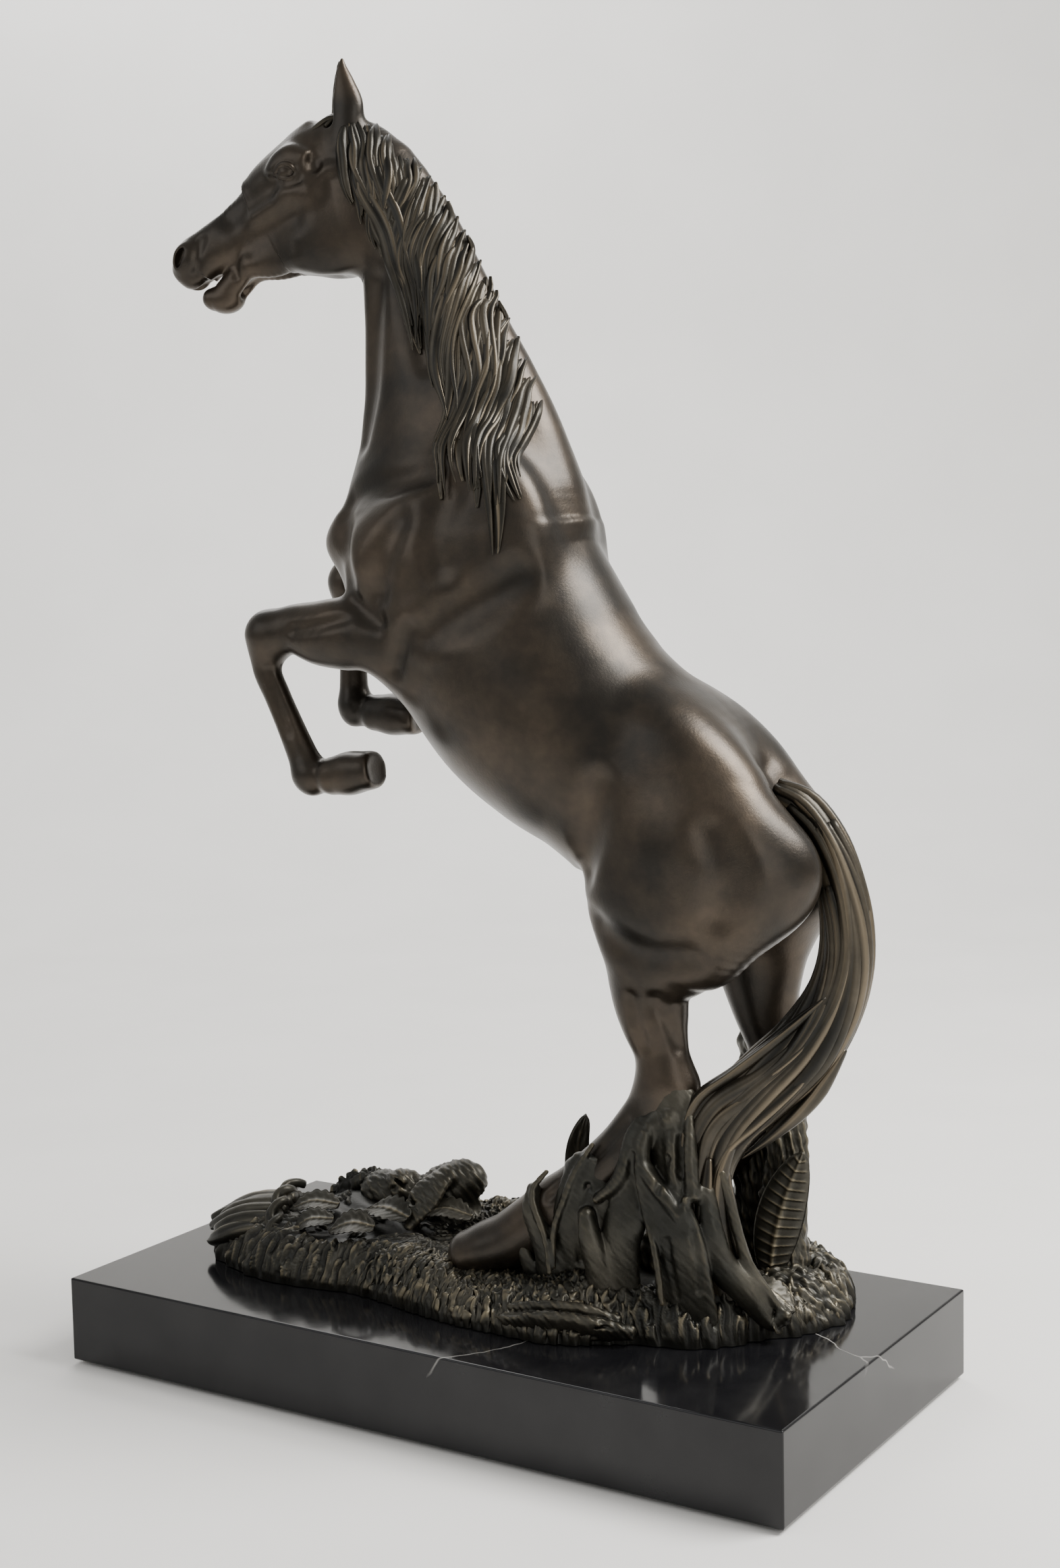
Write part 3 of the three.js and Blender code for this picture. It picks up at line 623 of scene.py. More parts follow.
def black_marble():
    """Polished black stone with a few thin broken white veins."""
    material, nodes, links, shader = new_material("black_marble")
    place = nodes.new("ShaderNodeTexCoord")
    warp = nodes.new("ShaderNodeTexNoise")
    warp.inputs["Scale"].default_value = 7
    warp.inputs["Detail"].default_value = 5
    links.new(place.outputs["Object"], warp.inputs["Vector"])
    spread = nodes.new("ShaderNodeMixRGB")
    spread.blend_type = "ADD"
    spread.inputs["Fac"].default_value = 0.11
    links.new(place.outputs["Object"], spread.inputs["Color1"])
    links.new(warp.outputs["Color"], spread.inputs["Color2"])
    cells = nodes.new("ShaderNodeTexVoronoi")
    cells.feature = "DISTANCE_TO_EDGE"
    cells.inputs["Scale"].default_value = 6.5
    links.new(spread.outputs["Color"], cells.inputs["Vector"])
    line = ramp(nodes, links, cells.outputs["Distance"], [(0.0, 1.0), (0.003, 0.0)])
    broken = ramp(nodes, links, noise(nodes, links, 12, 3), [(0.56, 0.0), (0.7, 1.0)])
    veins = nodes.new("ShaderNodeMath")
    veins.operation = "MULTIPLY"
    links.new(line, veins.inputs[0])
    links.new(broken, veins.inputs[1])
    stone = [(0.3, (0.004, 0.004, 0.005)), (0.8, (0.012, 0.012, 0.013))]
    ground = ramp(nodes, links, noise(nodes, links, 45, 6), stone)
    colour = mixed_colour(nodes, links, veins.outputs["Value"], ground, (0.4, 0.39, 0.37))
    links.new(colour, shader.inputs["Base Color"])
    shine = ramp(nodes, links, noise(nodes, links, 60, 4), [(0.3, 0.08), (0.8, 0.16)])
    links.new(shine, shader.inputs["Roughness"])
    shader.inputs["Specular IOR Level"].default_value = 0.32
    bump(nodes, links, shader, noise(nodes, links, 220, 3), 0.03, 0.0003)
    return material


def plain_surface(name, dark, light, scale, rough, metal=0.0, stretch=None):
    """Steel, felt or paper: two close shades of one colour, with a fine grain."""
    material, nodes, links, shader = new_material(name)
    colour = ramp(nodes, links, noise(nodes, links, scale, 5, stretch), [(0.35, dark), (0.65, light)])
    links.new(colour, shader.inputs["Base Color"])
    shader.inputs["Roughness"].default_value = rough
    shader.inputs["Metallic"].default_value = metal
    bump(nodes, links, shader, noise(nodes, links, scale * 3, 4, stretch), 0.2, 0.0002)
    return material


BODY_BRONZE = bronze("body_bronze", (0.017, 0.0135, 0.0095), (0.056, 0.041, 0.027), (0.17, 0.125, 0.08),
                     wear_from=0.62, rough=(0.3, 0.43), coat=0.3)
HAIR_BRONZE = bronze("hair_bronze", (0.02, 0.018, 0.013), (0.066, 0.055, 0.038), (0.22, 0.175, 0.115),
                     wear_from=0.52, rough=(0.34, 0.5), coat=0.25)
GROUND_BRONZE = bronze("ground_bronze", (0.019, 0.019, 0.015), (0.058, 0.053, 0.04), (0.21, 0.178, 0.115),
                       wear_from=0.54, rough=(0.36, 0.54), coat=0.2)
MARBLE = black_marble()
STEEL = plain_surface("turned_steel", (0.42, 0.42, 0.43), (0.6, 0.6, 0.61), 400, 0.32, 1.0, (1, 1, 12))
FELT = plain_surface("green_felt", (0.01, 0.035, 0.018), (0.02, 0.07, 0.035), 1500, 0.95)


# ------------------------------------------------------------------ the horse
def taper(i, n):
    """The share of full size at the i-th of n places along a ridge."""
    return 0.55 + 0.45 * math.sin(math.pi * (i + 0.5) / n)


def line(points, radius, blend, power=2.0):
    """A thin limb for a ridge or groove. Its radius tapers to about half at both ends."""
    sizes = [radius * taper(i, len(points)) for i in range(len(points))]
    rows = [(*p, size, size) for p, size in zip(points, sizes)]
    return Limb(rows, blend, power=power)


def both(sign, build):
    """The same shape on the horse's left and right."""
    return [(sign, build(-1)), (sign, build(1))]


def laid_on(shapes, starts, directions, lifts):
    """Brings each start back against its direction until it stands `lift` mm off the skin."""
    p, directions = np.array(starts, float), np.array(directions, float)
    lifts, gone = np.array(lifts, float), np.zeros(len(starts))
    for _ in range(45):
        step = np.clip((field(shapes, p) - lifts) * 0.85, 0, 20)
        step = np.where(gone + step < MARK_TRAVEL, step, 0)
        gone += step
        p -= directions * step[:, None]
    return p


def marks(shapes, rows):
    """Ridges and furrows drawn on the skin.

    A row is places, way out, radius, height (below 0 for a furrow), blend.
    """
    starts, ways, lifts = [], [], []
    for places, way, radius, height, _ in rows:
        for i, place in enumerate(places):
            r = radius * taper(i, len(places))
            starts.append(place)
            ways.append(way)
            lifts.append(height - r if height > 0 else r + height)
    found, made, k = laid_on(shapes, starts, ways, lifts), [], 0
    for places, _, radius, height, blend in rows:
        made.append(("+" if height > 0 else "-", line(found[k:k + len(places)], radius, blend)))
        k += len(places)
    return made


def hoof(name):
    """Pastern, coronet and wall of one hoof, with a flat sole."""
    start, toe, depth, width = HOOVES[name]
    start, toe = np.array(start, float), np.array(toe, float)
    along = unit(toe - start)
    length = np.linalg.norm(toe - start)
    coronet = start + along * length * 0.42
    rows = [(*start, 7.4, 7.2), (*(start + along * length * 0.2), 6.8, 6.7), (*coronet, 8.0, 8.4)]
    middle = start + along * length * 0.7
    wall = [(*coronet, 8.3, 8.9), (*middle, depth, width * 0.96), (*toe, depth * 0.9, width)]
    return [("+", Limb(rows, 4)), ("+", Limb(wall, 1.0, power=2.3)),
            ("-", Blob(toe + along * 12.5, (8, 22, 22), 0.8, x=along))]


def side_rows(table, sides=(-1, 1)):
    """Rows for marks() from places given as x and height, on the given sides of the body."""
    return [([(x, s * MARK_START, z) for x, z in places], (0, s, 0), radius, height, blend)
            for places, radius, height, blend in table for s in sides]


# Marks on the body, drawn on both sides: x and height, radius, height (below 0 for a furrow), blend.
BODY_MARKS = [
    ([(30, 312), (16, 303), (2, 295), (-10, 289)], 5, -0.7, 12),
    ([(-19, 291), (-24, 283), (-28, 274)], 3, -1.5, 6),
    ([(-22, 336), (-30, 322), (-35, 307)], 4, -1.1, 9),
    ([(-47, 303), (-41, 298), (-34, 294)], 2.5, -1.0, 5),
    ([(0, 348), (-5, 334), (-3, 318)], 5, -0.7, 11),
    ([(66, 228), (59, 208), (54, 192)], 4, -0.7, 10),
    ([(62, 167), (84, 158), (104, 158)], 4, -0.2, 12),
    ([(116, 210), (122, 194), (118, 176)], 6, -0.5, 12),
    ([(-58, 347), (-44, 352), (-26, 354), (-8, 357)], 3, -0.9, 8),
    ([(-47, 438), (-50, 416), (-52, 394), (-56, 372)], 4, -0.8, 9),
    ([(-30, 436), (-24, 420), (-20, 404)], 4, -0.5, 9),
    ([(-50, 296), (-64, 293), (-78, 291)], 2, -0.6, 4),
    ([(-60, 340), (-56, 326), (-52, 312)], 4, -0.8, 8),
]
# The same on the outer side of each hind leg; the third number is how far the right one is set back.
HIND_MARKS = [
    ([(86, 140, 26), (91, 130, 30), (94, 120, 33)], 2, -0.6, 4),
    ([(75, 140, 28), (77, 130, 32), (80, 120, 34)], 2, -0.4, 4),
    ([(72, 88, 36), (54, 68, 42), (38, 53, 46)], 1.4, -0.7, 3),
]
FORE_LEFT_MARKS = [([(-94, 274), (-89, 260), (-84, 246)], 1.3, -0.7, 2.5)]
FORE_RIGHT_MARKS = [([(-82, 294), (-81, 280), (-81, 266)], 1.3, -0.7, 2.5)]


def neck_marks(shapes):
    """Those of the body's marks that lie on the neck."""
    return marks(shapes, side_rows([row for row in BODY_MARKS if min(z for x, z in row[0]) >= 340]))


def body_shapes():
    """Neck, trunk and four legs as one field: the big forms, the muscles, the joints and then the marks."""
    shapes = [("+", Limb(SPINE, 1)), ("+", Limb(POLL, 5))]
    for leg in (FORE_LEFT, FORE_RIGHT, HIND_LEFT, HIND_RIGHT):
        shapes += [("+", Limb(rows, 9)) for rows in leg]
    # Shoulder blade, upper arm, chest and the point of the shoulder.
    shapes += both("+", lambda s: Blob((16, s * 29, 338), (32, 12, 20), 16, x=(0.45, 0, -0.9)))
    shapes += both("+", lambda s: Blob((-14, s * 32, 322), (26, 13, 19), 12, x=(0.2, 0, -0.98)))
    shapes += both("+", lambda s: Blob((-36, s * 29, 321), (20, 14, 18), 10, x=(0.5, 0, 0.85)))
    shapes += both("+", lambda s: Blob((-55, s * 12, 330), (12, 12, 18), 10, x=(-0.2, 0, 1)))
    shapes += both("+", lambda s: Blob((-12, s * 36, 292), (20, 9, 12), 8, x=(0.85, 0, -0.5)))
    # Haunch, stifle and croup.
    shapes += both("+", lambda s: Blob((100, s * 24, 214), (34, 20, 30), 14, x=(0.75, 0, -0.65)))
    shapes += both("+", lambda s: Blob((121, s * 19, 190), (26, 18, 30), 14, x=(0.1, 0, -1)))
    shapes += both("+", lambda s: Blob((80, s * 25, 178), (22, 15, 26), 12, x=(0.3, 0, -0.95)))
    shapes += both("+", lambda s: Blob((93, s * 21, 244), (22, 15, 13), 14, x=(0.8, 0, -0.6)))
    between_haunches = [(126, 0, 232), (140, 0, 214), (144, 0, 196), (138, 0, 176), (124, 0, 164)]
    shapes.append(("-", line(between_haunches, 4.5, 9)))
    # Joints of the legs.
    for x, y, z, r, blend in [(-95, -28, 290, 8.3, 4), (-85, 26, 310, 8.3, 4), (-77, -28, 229, 7.3, 3),
                              (-83, 26, 256, 7.2, 3), (91, -24, 101, 7.5, 4), (122, 26, 98, 7.5, 4),
                              (71, 26, 39, 8.6, 4)]:
        shapes.append(("+", Blob((x, y, z), (r, r * 1.03, r), blend)))
    for name in HOOVES:
        shapes += hoof(name)
    rows = side_rows(BODY_MARKS)
    for places, *rest in HIND_MARKS:
        rows += side_rows([([(x, z) for x, z, back in places], *rest)], (-1,))
        rows += side_rows([([(x + back, z) for x, z, back in places], *rest)], (1,))
    rows += side_rows(FORE_LEFT_MARKS, (-1,)) + side_rows(FORE_RIGHT_MARKS, (1,))
    return shapes + marks(shapes, rows)


# Marks on each cheek: forward and height, radius, height (below 0 for a furrow), blend.
HEAD_MARKS = [
    ([(19, 486.6), (14, 487.4), (8.5, 488.6)], 3, 1.3, 4),
    ([(43, 488.5), (39, 493.5), (33.5, 495.5), (27, 493.5)], 3, 1.2, 5),
    ([(22, 491), (21.5, 488.5)], 2.2, -0.4, 4),
    ([(28, 482), (34, 480.8), (41, 482.5)], 2.2, -0.8, 4),
    ([(25, 478.5), (38, 475.5), (53, 471)], 3.6, 0.45, 9),
    ([(46, 480), (56, 476), (65, 471)], 4, -0.5, 9),
    ([(34, 468), (46, 463.5), (57, 459)], 4.5, -0.45, 10),
    ([(80, 462), (82.6, 455), (82.5, 448)], 2, -0.4, 3.5),
    ([(61, 457), (64.5, 451.5), (64, 446.5)], 1.8, -0.4, 3),
    ([(57, 449.5), (46, 449), (33, 451)], 3.4, 0.3, 6),
]


def eye(s):
    """Socket, ball, and the upper and lower lid, on the side s of the head."""
    upper = [(29.6, s * 16.0, 486.2), (32.6, s * 17.2, 489.6), (36.6, s * 17.0, 489.9),
             (40.5, s * 15.2, 487.0)]
    lower = [(29.8, s * 15.9, 485.6), (33, s * 16.7, 484.2), (37, s * 16.2, 484.5), (40.4, s * 15, 486.4)]
    return [("-", lump(35.3, s * 17.4, 487.2, (4.6, 2.4, 3.0), 3, -0.15)),
            ("+", lump(35.2, s * 14.4, 487.1, (3.9, 3.2, 3.2), 0.25)),
            ("+", thread(upper, 0.9, 0.9)),
            ("+", thread(lower, 0.75, 0.9))]


def nostril(s):
    """The raised wing of the nostril and the hole in it."""
    return [("+", lump(88.6, s * 7.4, 455, (5.6, 3.4, 6.4), 3, 0.5)),
            ("-", lump(90.6, s * 9.9, 455.2, (2.3, 4.2, 4.6), 1, 0.45))]


def head_rows(table):
    """Limb rows from rows in the head's frame."""
    return [(*on_head(forward, 0.0, height), depth, width) for forward, height, depth, width in table]


def thread(points, radius, blend):
    """A thin ridge or groove through places on the head."""
    return line([on_head(*p) for p in points], radius, blend)


def lump(forward, left, height, radii, blend, tilt=0.0):
    """A blob on the head, with radii forward, left and up, and its nose tilted up by `tilt`."""
    axis = (HEAD_FORWARD[0] * math.cos(tilt), HEAD_FORWARD[1] * math.cos(tilt), math.sin(tilt))
    return Blob(on_head(forward, left, height), radii, blend, x=axis, y=HEAD_LEFT)


def head_shapes():
    """Skull, jaw, cheeks and brows, then the marks, the eyes, nostrils and mouth, and the ears."""
    shapes = [("+", Limb(head_rows(SKULL), 9, HEAD_LEFT, 2.4)),
              ("+", Limb(head_rows(LOWER_JAW), 3.5, HEAD_LEFT)),
              ("+", lump(72, 0, 436, (7, 6, 5), 3))]
    for s in (-1, 1):
        shapes.append(("+", lump(19, s * 8.0, 463, (21, 7.6, 19), 6)))
        shapes.append(("+", lump(34, s * 12.8, 488.5, (8.5, 4.4, 7), 4.5)))
    drawn = []
    for s in (-1, 1):
        way = tuple(s * v for v in HEAD_LEFT)
        drawn += [([on_head(forward, s * CHEEK_START, z) for forward, z in places], way, *rest)
                  for places, *rest in HEAD_MARKS]
    shapes += marks(shapes, drawn)
    for s in (-1, 1):
        shapes += eye(s) + nostril(s)
        corner = [(67.5, s * 9.4, 449.6), (72, s * 9.4, 447.2), (79, s * 9.6, 444.6), (86, s * 9.8, 443)]
        shapes.append(("-", thread(corner, 1.3, 1.0)))
    shapes.append(("-", thread([(68, 0, 447.6), (74, 0, 445.4), (82, 0, 442.6), (90, 0, 441)], 2.6, 0.8)))
    shapes.append(("+", thread([(30, 0, 508), (50, 0, 492.5), (66, 0, 475)], 3.2, 6)))
    shapes.append(("-", thread([(40, 0, 446), (56, 0, 443), (64, 0, 440)], 2.4, 5)))
    return shapes + ear(LEFT_EAR, 7.8, 0.8) + ear(RIGHT_EAR, -7.6, -0.8)


def ear(table, left, tilt):
    """An ear that leans outward by tilt, with a cup hollowed in its front."""
    shell = [(*on_head(forward, left + tilt * i * 0.25, z), a, b)
             for i, (forward, z, a, b) in enumerate(table)]
    cup = [(*on_head(forward + a * 0.92, left + tilt * 1.2, z + 1), a * 0.62, b * 0.62)
           for forward, z, a, b in table[1:5]]
    return [("+", Limb(shell, 6, HEAD_LEFT)), ("-", Limb(cup, 1, HEAD_LEFT))]


def neck_end():
    """The top of the neck as the head's own grid needs it."""
    neck = [("+", Limb(SPINE[:7], 1)), ("+", Limb(POLL, 5))]
    return neck + neck_marks(neck)


def cut_mesh(source, cuts):
    """A copy of a mesh kept on the positive side of each plane, closed over at the cuts."""
    work = bmesh.new()
    work.from_mesh(source)
    for point, direction in cuts:
        origin = Vector(to_world([point])[0])
        tip = Vector(to_world([np.array(point, float) + np.array(direction, float)])[0])
        normal = (tip - origin).normalized()
        geometry = work.verts[:] + work.edges[:] + work.faces[:]
        bmesh.ops.bisect_plane(work, geom=geometry, dist=1e-7, plane_co=origin, plane_no=normal,
                               clear_inner=True)
        rim = [e for e in work.edges if e.is_boundary]
        made = bmesh.ops.holes_fill(work, edges=rim, sides=0)["faces"]
        for face in made:
            for edge in face.edges:
                edge.smooth = False
    mesh = source.copy()
    work.to_mesh(mesh)
    work.free()
    return mesh


def skin_piece(name, mesh, material, replaced):
    """Names a finished mesh, hides the CAD nodes it stands for and lets it ride on the statue."""
    mesh.name = name
    obj = new_object(name, mesh, material)
    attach(obj, "root")
    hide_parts(*replaced)
    return obj


def raw_mesh(points, faces):
    """An uncut skin with its wear, from which the castings are cut."""
    mesh = new_mesh("raw", points, faces)
    set_wear(mesh, ridge_wear(mesh, BODY_PROUD))
    return mesh


def flipped(plane):
    """The same plane, looking the other way."""
    point, direction = plane
    return point, tuple(-d for d in direction)


def make_horse():
    """Skins the body and the head, and parts them where the castings meet. Returns their shapes."""
    body = body_shapes()
    points, faces = skin(body, (-112, -66, 2), (166, 66, 500), BODY_GRID, BODY_ROUNDS)
    raw = raw_mesh(points, faces)
    fore = ((FORELEG_CUT_X, 0, 0), (1, 0, 0))
    hind = ((0, 0, HIND_LEG_CUT_Z), (0, 0, 1))
    under_neck = flipped(NECK_CUT)
    skin_piece("neck_skin", cut_mesh(raw, [NECK_CUT, flipped(HEAD_CUT)]), BODY_BRONZE, ["neck_casting"])
    skin_piece("torso_skin", cut_mesh(raw, [under_neck, fore, hind]), BODY_BRONZE, ["torso_casting"])
    for side, facing in (("left", -1), ("right", 1)):
        middle = ((0, 0, 0), (0, facing, 0))
        foreleg = cut_mesh(raw, [under_neck, flipped(fore), middle])
        skin_piece("foreleg_%s_skin" % side, foreleg, BODY_BRONZE, ["foreleg_%s_casting" % side])
        hind_leg = cut_mesh(raw, [flipped(hind), fore, middle])
        skin_piece("hind_leg_%s_skin" % side, hind_leg, BODY_BRONZE, ["hind_leg_%s_casting" % side])
    head = head_shapes()
    points, faces = skin(neck_end() + head, (-160, -36, 424), (-10, 36, 540), HEAD_GRID, 2)
    skin_piece("head_skin", cut_mesh(raw_mesh(points, faces), [HEAD_CUT]), BODY_BRONZE, ["head_casting"])
    return body + head


# ------------------------------------------------------------------ hair
def swept(path, steps, facing):
    """Even steps along a path: the share of its length, the place, the way sideways and the way out."""
    rows = smooth_rows([(*p, 0, 0) for p in path], 12)[:, :3]
    lengths = np.concatenate([[0], np.cumsum(np.linalg.norm(np.diff(rows, axis=0), axis=1))])
    t = np.linspace(0, 1, steps)
    centre = np.stack([np.interp(t * lengths[-1], lengths, rows[:, k]) for k in range(3)], 1)
    along = np.gradient(centre, axis=0)
    along /= np.linalg.norm(along, axis=1)[:, None]
    out = np.array(facing, float) - along * (along @ np.array(facing, float))[:, None]
    out /= np.linalg.norm(out, axis=1)[:, None]
    return t, centre, np.cross(along, out), out


def lock(path, width, depth, grooves, phase, steps=30, sides=22, facing=(0, -1, 0), ends=(0.45, 0.12)):
    """One tapered lock of hair with grooves along it. Returns points, faces and wear."""
    t, centre, side, out = swept(path, steps, facing)
    angle = np.arange(sides) * 2 * math.pi / sides
    swell = ends[0] + (1 - ends[0]) * np.clip(t / 0.3, 0, 1) ** 0.7
    swell *= 1 - (1 - ends[1]) * np.clip((t - 0.5) / 0.5, 0, 1) ** 1.6
    twist = phase + 1.1 * np.sin(2.1 * t * math.pi + phase)
    groove = np.cos(grooves * angle[None, :] + twist[:, None])
    groove = groove * (0.55 + 0.45 * np.sin(angle[None, :] * 2 + phase))
    radius = 1 + 0.15 * groove * np.minimum(1, (1 - t) * 5 + 0.15)[:, None]
    u = np.cos(angle)[None, :] * radius * (width * swell)[:, None]
    v = np.sin(angle)[None, :] * radius * (depth * swell)[:, None]
    points = centre[:, None, :] + side[:, None, :] * u[..., None] + out[:, None, :] * v[..., None]
    wear = np.clip(0.46 + 0.42 * groove * (0.4 + 0.6 * np.clip(np.sin(angle), 0, 1))[None, :], 0, 1)
    faces = []
    for i in range(steps - 1):
        for j in range(sides):
            k = (j + 1) % sides
            faces.append((i * sides + j, i * sides + k, (i + 1) * sides + k, (i + 1) * sides + j))
    faces.append(tuple(range(sides))[::-1])
    faces.append(tuple((steps - 1) * sides + j for j in range(sides)))
    return points.reshape(-1, 3), faces, wear.reshape(-1)


# Mane locks: x and height along each, from the crest down. y comes from where the skin lies.
MANE = [
    [(-57, 507), (-55, 492), (-52, 478), (-50, 466)],
    [(-52, 507), (-49, 492), (-45, 477), (-41, 462)],
    [(-46, 502), (-43, 487), (-39, 471), (-36, 452)],
    [(-50, 499), (-51, 486), (-48, 472), (-47, 462)],
    [(-43, 497), (-42, 480), (-43, 462), (-42, 450)],
    [(-35, 491), (-34, 475), (-35, 458)],
    [(-27, 483), (-30, 461), (-31, 442), (-28, 427), (-23, 408)],
    [(-49, 496), (-46, 479), (-37, 460), (-30, 439), (-24, 410)],
    [(-46, 494), (-45, 479), (-40, 463), (-32, 449), (-29, 434)],
    [(-39, 492), (-38, 475), (-40, 461)],
    [(-24, 480), (-25, 460), (-23, 444), (-23, 424)],
    [(-17, 471), (-22, 448), (-20, 429)],
    [(-14, 465), (-18, 444), (-19, 424), (-15, 409)],
    [(-8, 456), (-11, 441), (-14, 426), (-14, 410)],
    [(-4, 446), (-9, 426), (-10, 403), (-5, 380)],
    [(0, 439), (-2, 423), (-3, 403), (-5, 381), (-7, 366), (-5, 346)],
    [(3, 433), (1, 422), (5, 397), (2, 378), (6, 353)],
    [(6, 428), (8, 405), (5, 390), (7, 368)],
    [(13, 413), (11, 394), (10, 378), (16, 354)],
    [(20, 396), (17, 378), (22, 352), (22, 323)],
    [(24, 386), (23, 368), (31, 345)],
    [(-20, 474), (-27, 452), (-27, 432), (-24, 412)],
    [(-11, 459), (-16, 434), (-16, 414), (-12, 394)],
    [(9, 421), (2, 402), (0, 386), (-2, 364)],
    [(16, 404), (12, 384), (12, 364), (13, 342)],
    [(-31, 487), (-37, 468), (-37, 450)],
]


# Thin strands over each lock of the mane.
MANE_STRANDS = 6


def make_mane(horse):
    """Each group has a flat lock underneath and thin wavy strands over it, drawn together at the tip."""
    near = [(sign, s) for sign, s in horse if s.box(0)[1][2] > 330]
    wanted = []
    for number, path in enumerate(MANE):
        rows = smooth_rows([(*p, 0) for p in path], 3)
        count = len(rows)
        for strand in range(-1, MANE_STRANDS):
            across = 0 if strand < 0 else (strand - 2.5) * 2.2 + RNG.uniform(-0.4, 0.4)
            shorter = 1 if strand < 0 else RNG.uniform(0.72, 1.0)
            phase, height = RNG.uniform(-0.5, 0.5), RNG.uniform(0.6, 2.4)
            for i, (x, z, _) in enumerate(rows[:max(3, int(round(count * shorter)))]):
                share = i / (count - 1)
                pinch = across * (1 - 0.62 * share ** 1.5) * min(1, 0.5 + 2 * share)
                wave = 0.9 * math.sin(share * count * 0.85 + number * 1.3 + phase) * min(1, share * 4)
                lift = (0.2 if strand < 0 else height) * min(1, share * 6) + 1.2 * share - 0.6
                wanted.append(((number, strand), x + pinch + wave, z - 1.5 + 0.35 * pinch, lift))
    starts = [(x, -MARK_START, z) for _, x, z, _ in wanted]
    laid = laid_on(near, starts, [(0, -1, 0)] * len(wanted), [w[3] for w in wanted])
    laid[:, 1] = np.minimum(laid[:, 1], -1.5)
    parts, groups = [], {}
    for (key, *_), place in zip(wanted, laid):
        groups.setdefault(key, []).append(place)
    for (number, strand), places in groups.items():
        phase = (number * (MANE_STRANDS + 1) + strand) * 1.7
        if strand < 0:
            parts.append(lock(places, 5.0, 1.8, 5, phase, sides=24, ends=(0.3, 0.12)))
        else:
            width, depth = RNG.uniform(1.6, 2.7), RNG.uniform(1.4, 2.1)
            parts.append(lock(places, width, depth, 3, phase, sides=18, ends=(0.3, 0.12)))
    joined_piece("mane", parts, HAIR_BRONZE)


def make_forelock():
    """Short curls lying low between the ears and over the top of the forehead."""
    parts = []
    for k in range(14):
        side = -6.5 + k + RNG.uniform(-0.5, 0.5)
        length = RNG.uniform(0.6, 1.0)
        path = [
            on_head(9, side * 0.5, 509),
            on_head(9 + 9 * length, side * 0.8 + math.sin(k), 512 - 2 * abs(side) / 6.5),
            on_head(9 + 17 * length, side + math.cos(k * 2), 512.5 - 5 * length - 0.4 * abs(side)),
            on_head(9 + 26 * length, side * 1.2 + math.sin(k * 2), 511 - 10 * length - 0.7 * abs(side)),
        ]
        parts.append(lock(path, 1.7, 1.4, 2, k * 1.3, facing=(-0.5, 0, 0.86), sides=12, ends=(0.6, 0.15)))
    joined_piece("forelock", parts, HAIR_BRONZE)


# The tail's core: x, y, height, half size in its own bend, half size sideways.
TAIL_CORE = [
    (126, 0, 222, 6, 6), (138, 0, 216, 7.5, 7), (147, 0, 203, 8.5, 8), (153, 0, 186, 9, 8.5),
    (156, 0, 168, 9.5, 9), (155, -1, 150, 10.5, 9), (149, -5, 132, 12, 9.5), (137, -12, 114, 14, 10),
    (122, -19, 100, 13.5, 9), (110, -25, 84, 11, 8), (105, -28, 66, 9, 7), (106, -29, 46, 9, 6.5),
    (110, -29, 28, 10, 6), (114, -28, 12, 10, 5),
]
# Long ridges and loose tips on the side that is seen.
TAIL_RIDGES = [
    [(150, -12, 140), (134, -18, 125), (116, -24, 110), (102, -30, 99), (97, -33, 84), (97, -35, 60),
     (99, -37, 38), (101, -38, 14)],
    [(153, -11, 132), (137, -20, 115), (119, -27, 99), (106, -32, 85), (102, -36, 64), (103, -37, 42),
     (106, -37, 16)],
    [(155, -10, 125), (141, -18, 107), (125, -25, 91), (113, -30, 78), (109, -33, 60), (110, -34, 40),
     (116, -32, 22), (125, -29, 11)],
    [(157, -8, 119), (146, -14, 100), (131, -20, 85), (118, -24, 74)],
    [(113, -31, 80), (115, -30, 54), (121, -29, 32), (133, -26, 10)],
    [(108, -35, 76), (106, -38, 50), (107, -39, 28), (109, -39, 12)],
    [(120, -27, 92), (112, -32, 70), (112, -33, 46), (118, -31, 26), (128, -28, 12)],
    [(128, -24, 104), (110, -32, 90), (104, -35, 72), (104, -37, 50)],
    [(146, -14, 128), (127, -23, 110), (108, -31, 96), (100, -34, 74), (100, -37, 46), (103, -38, 20)],
]


# Strands laid round the tail's core.
TAIL_STRANDS = 26


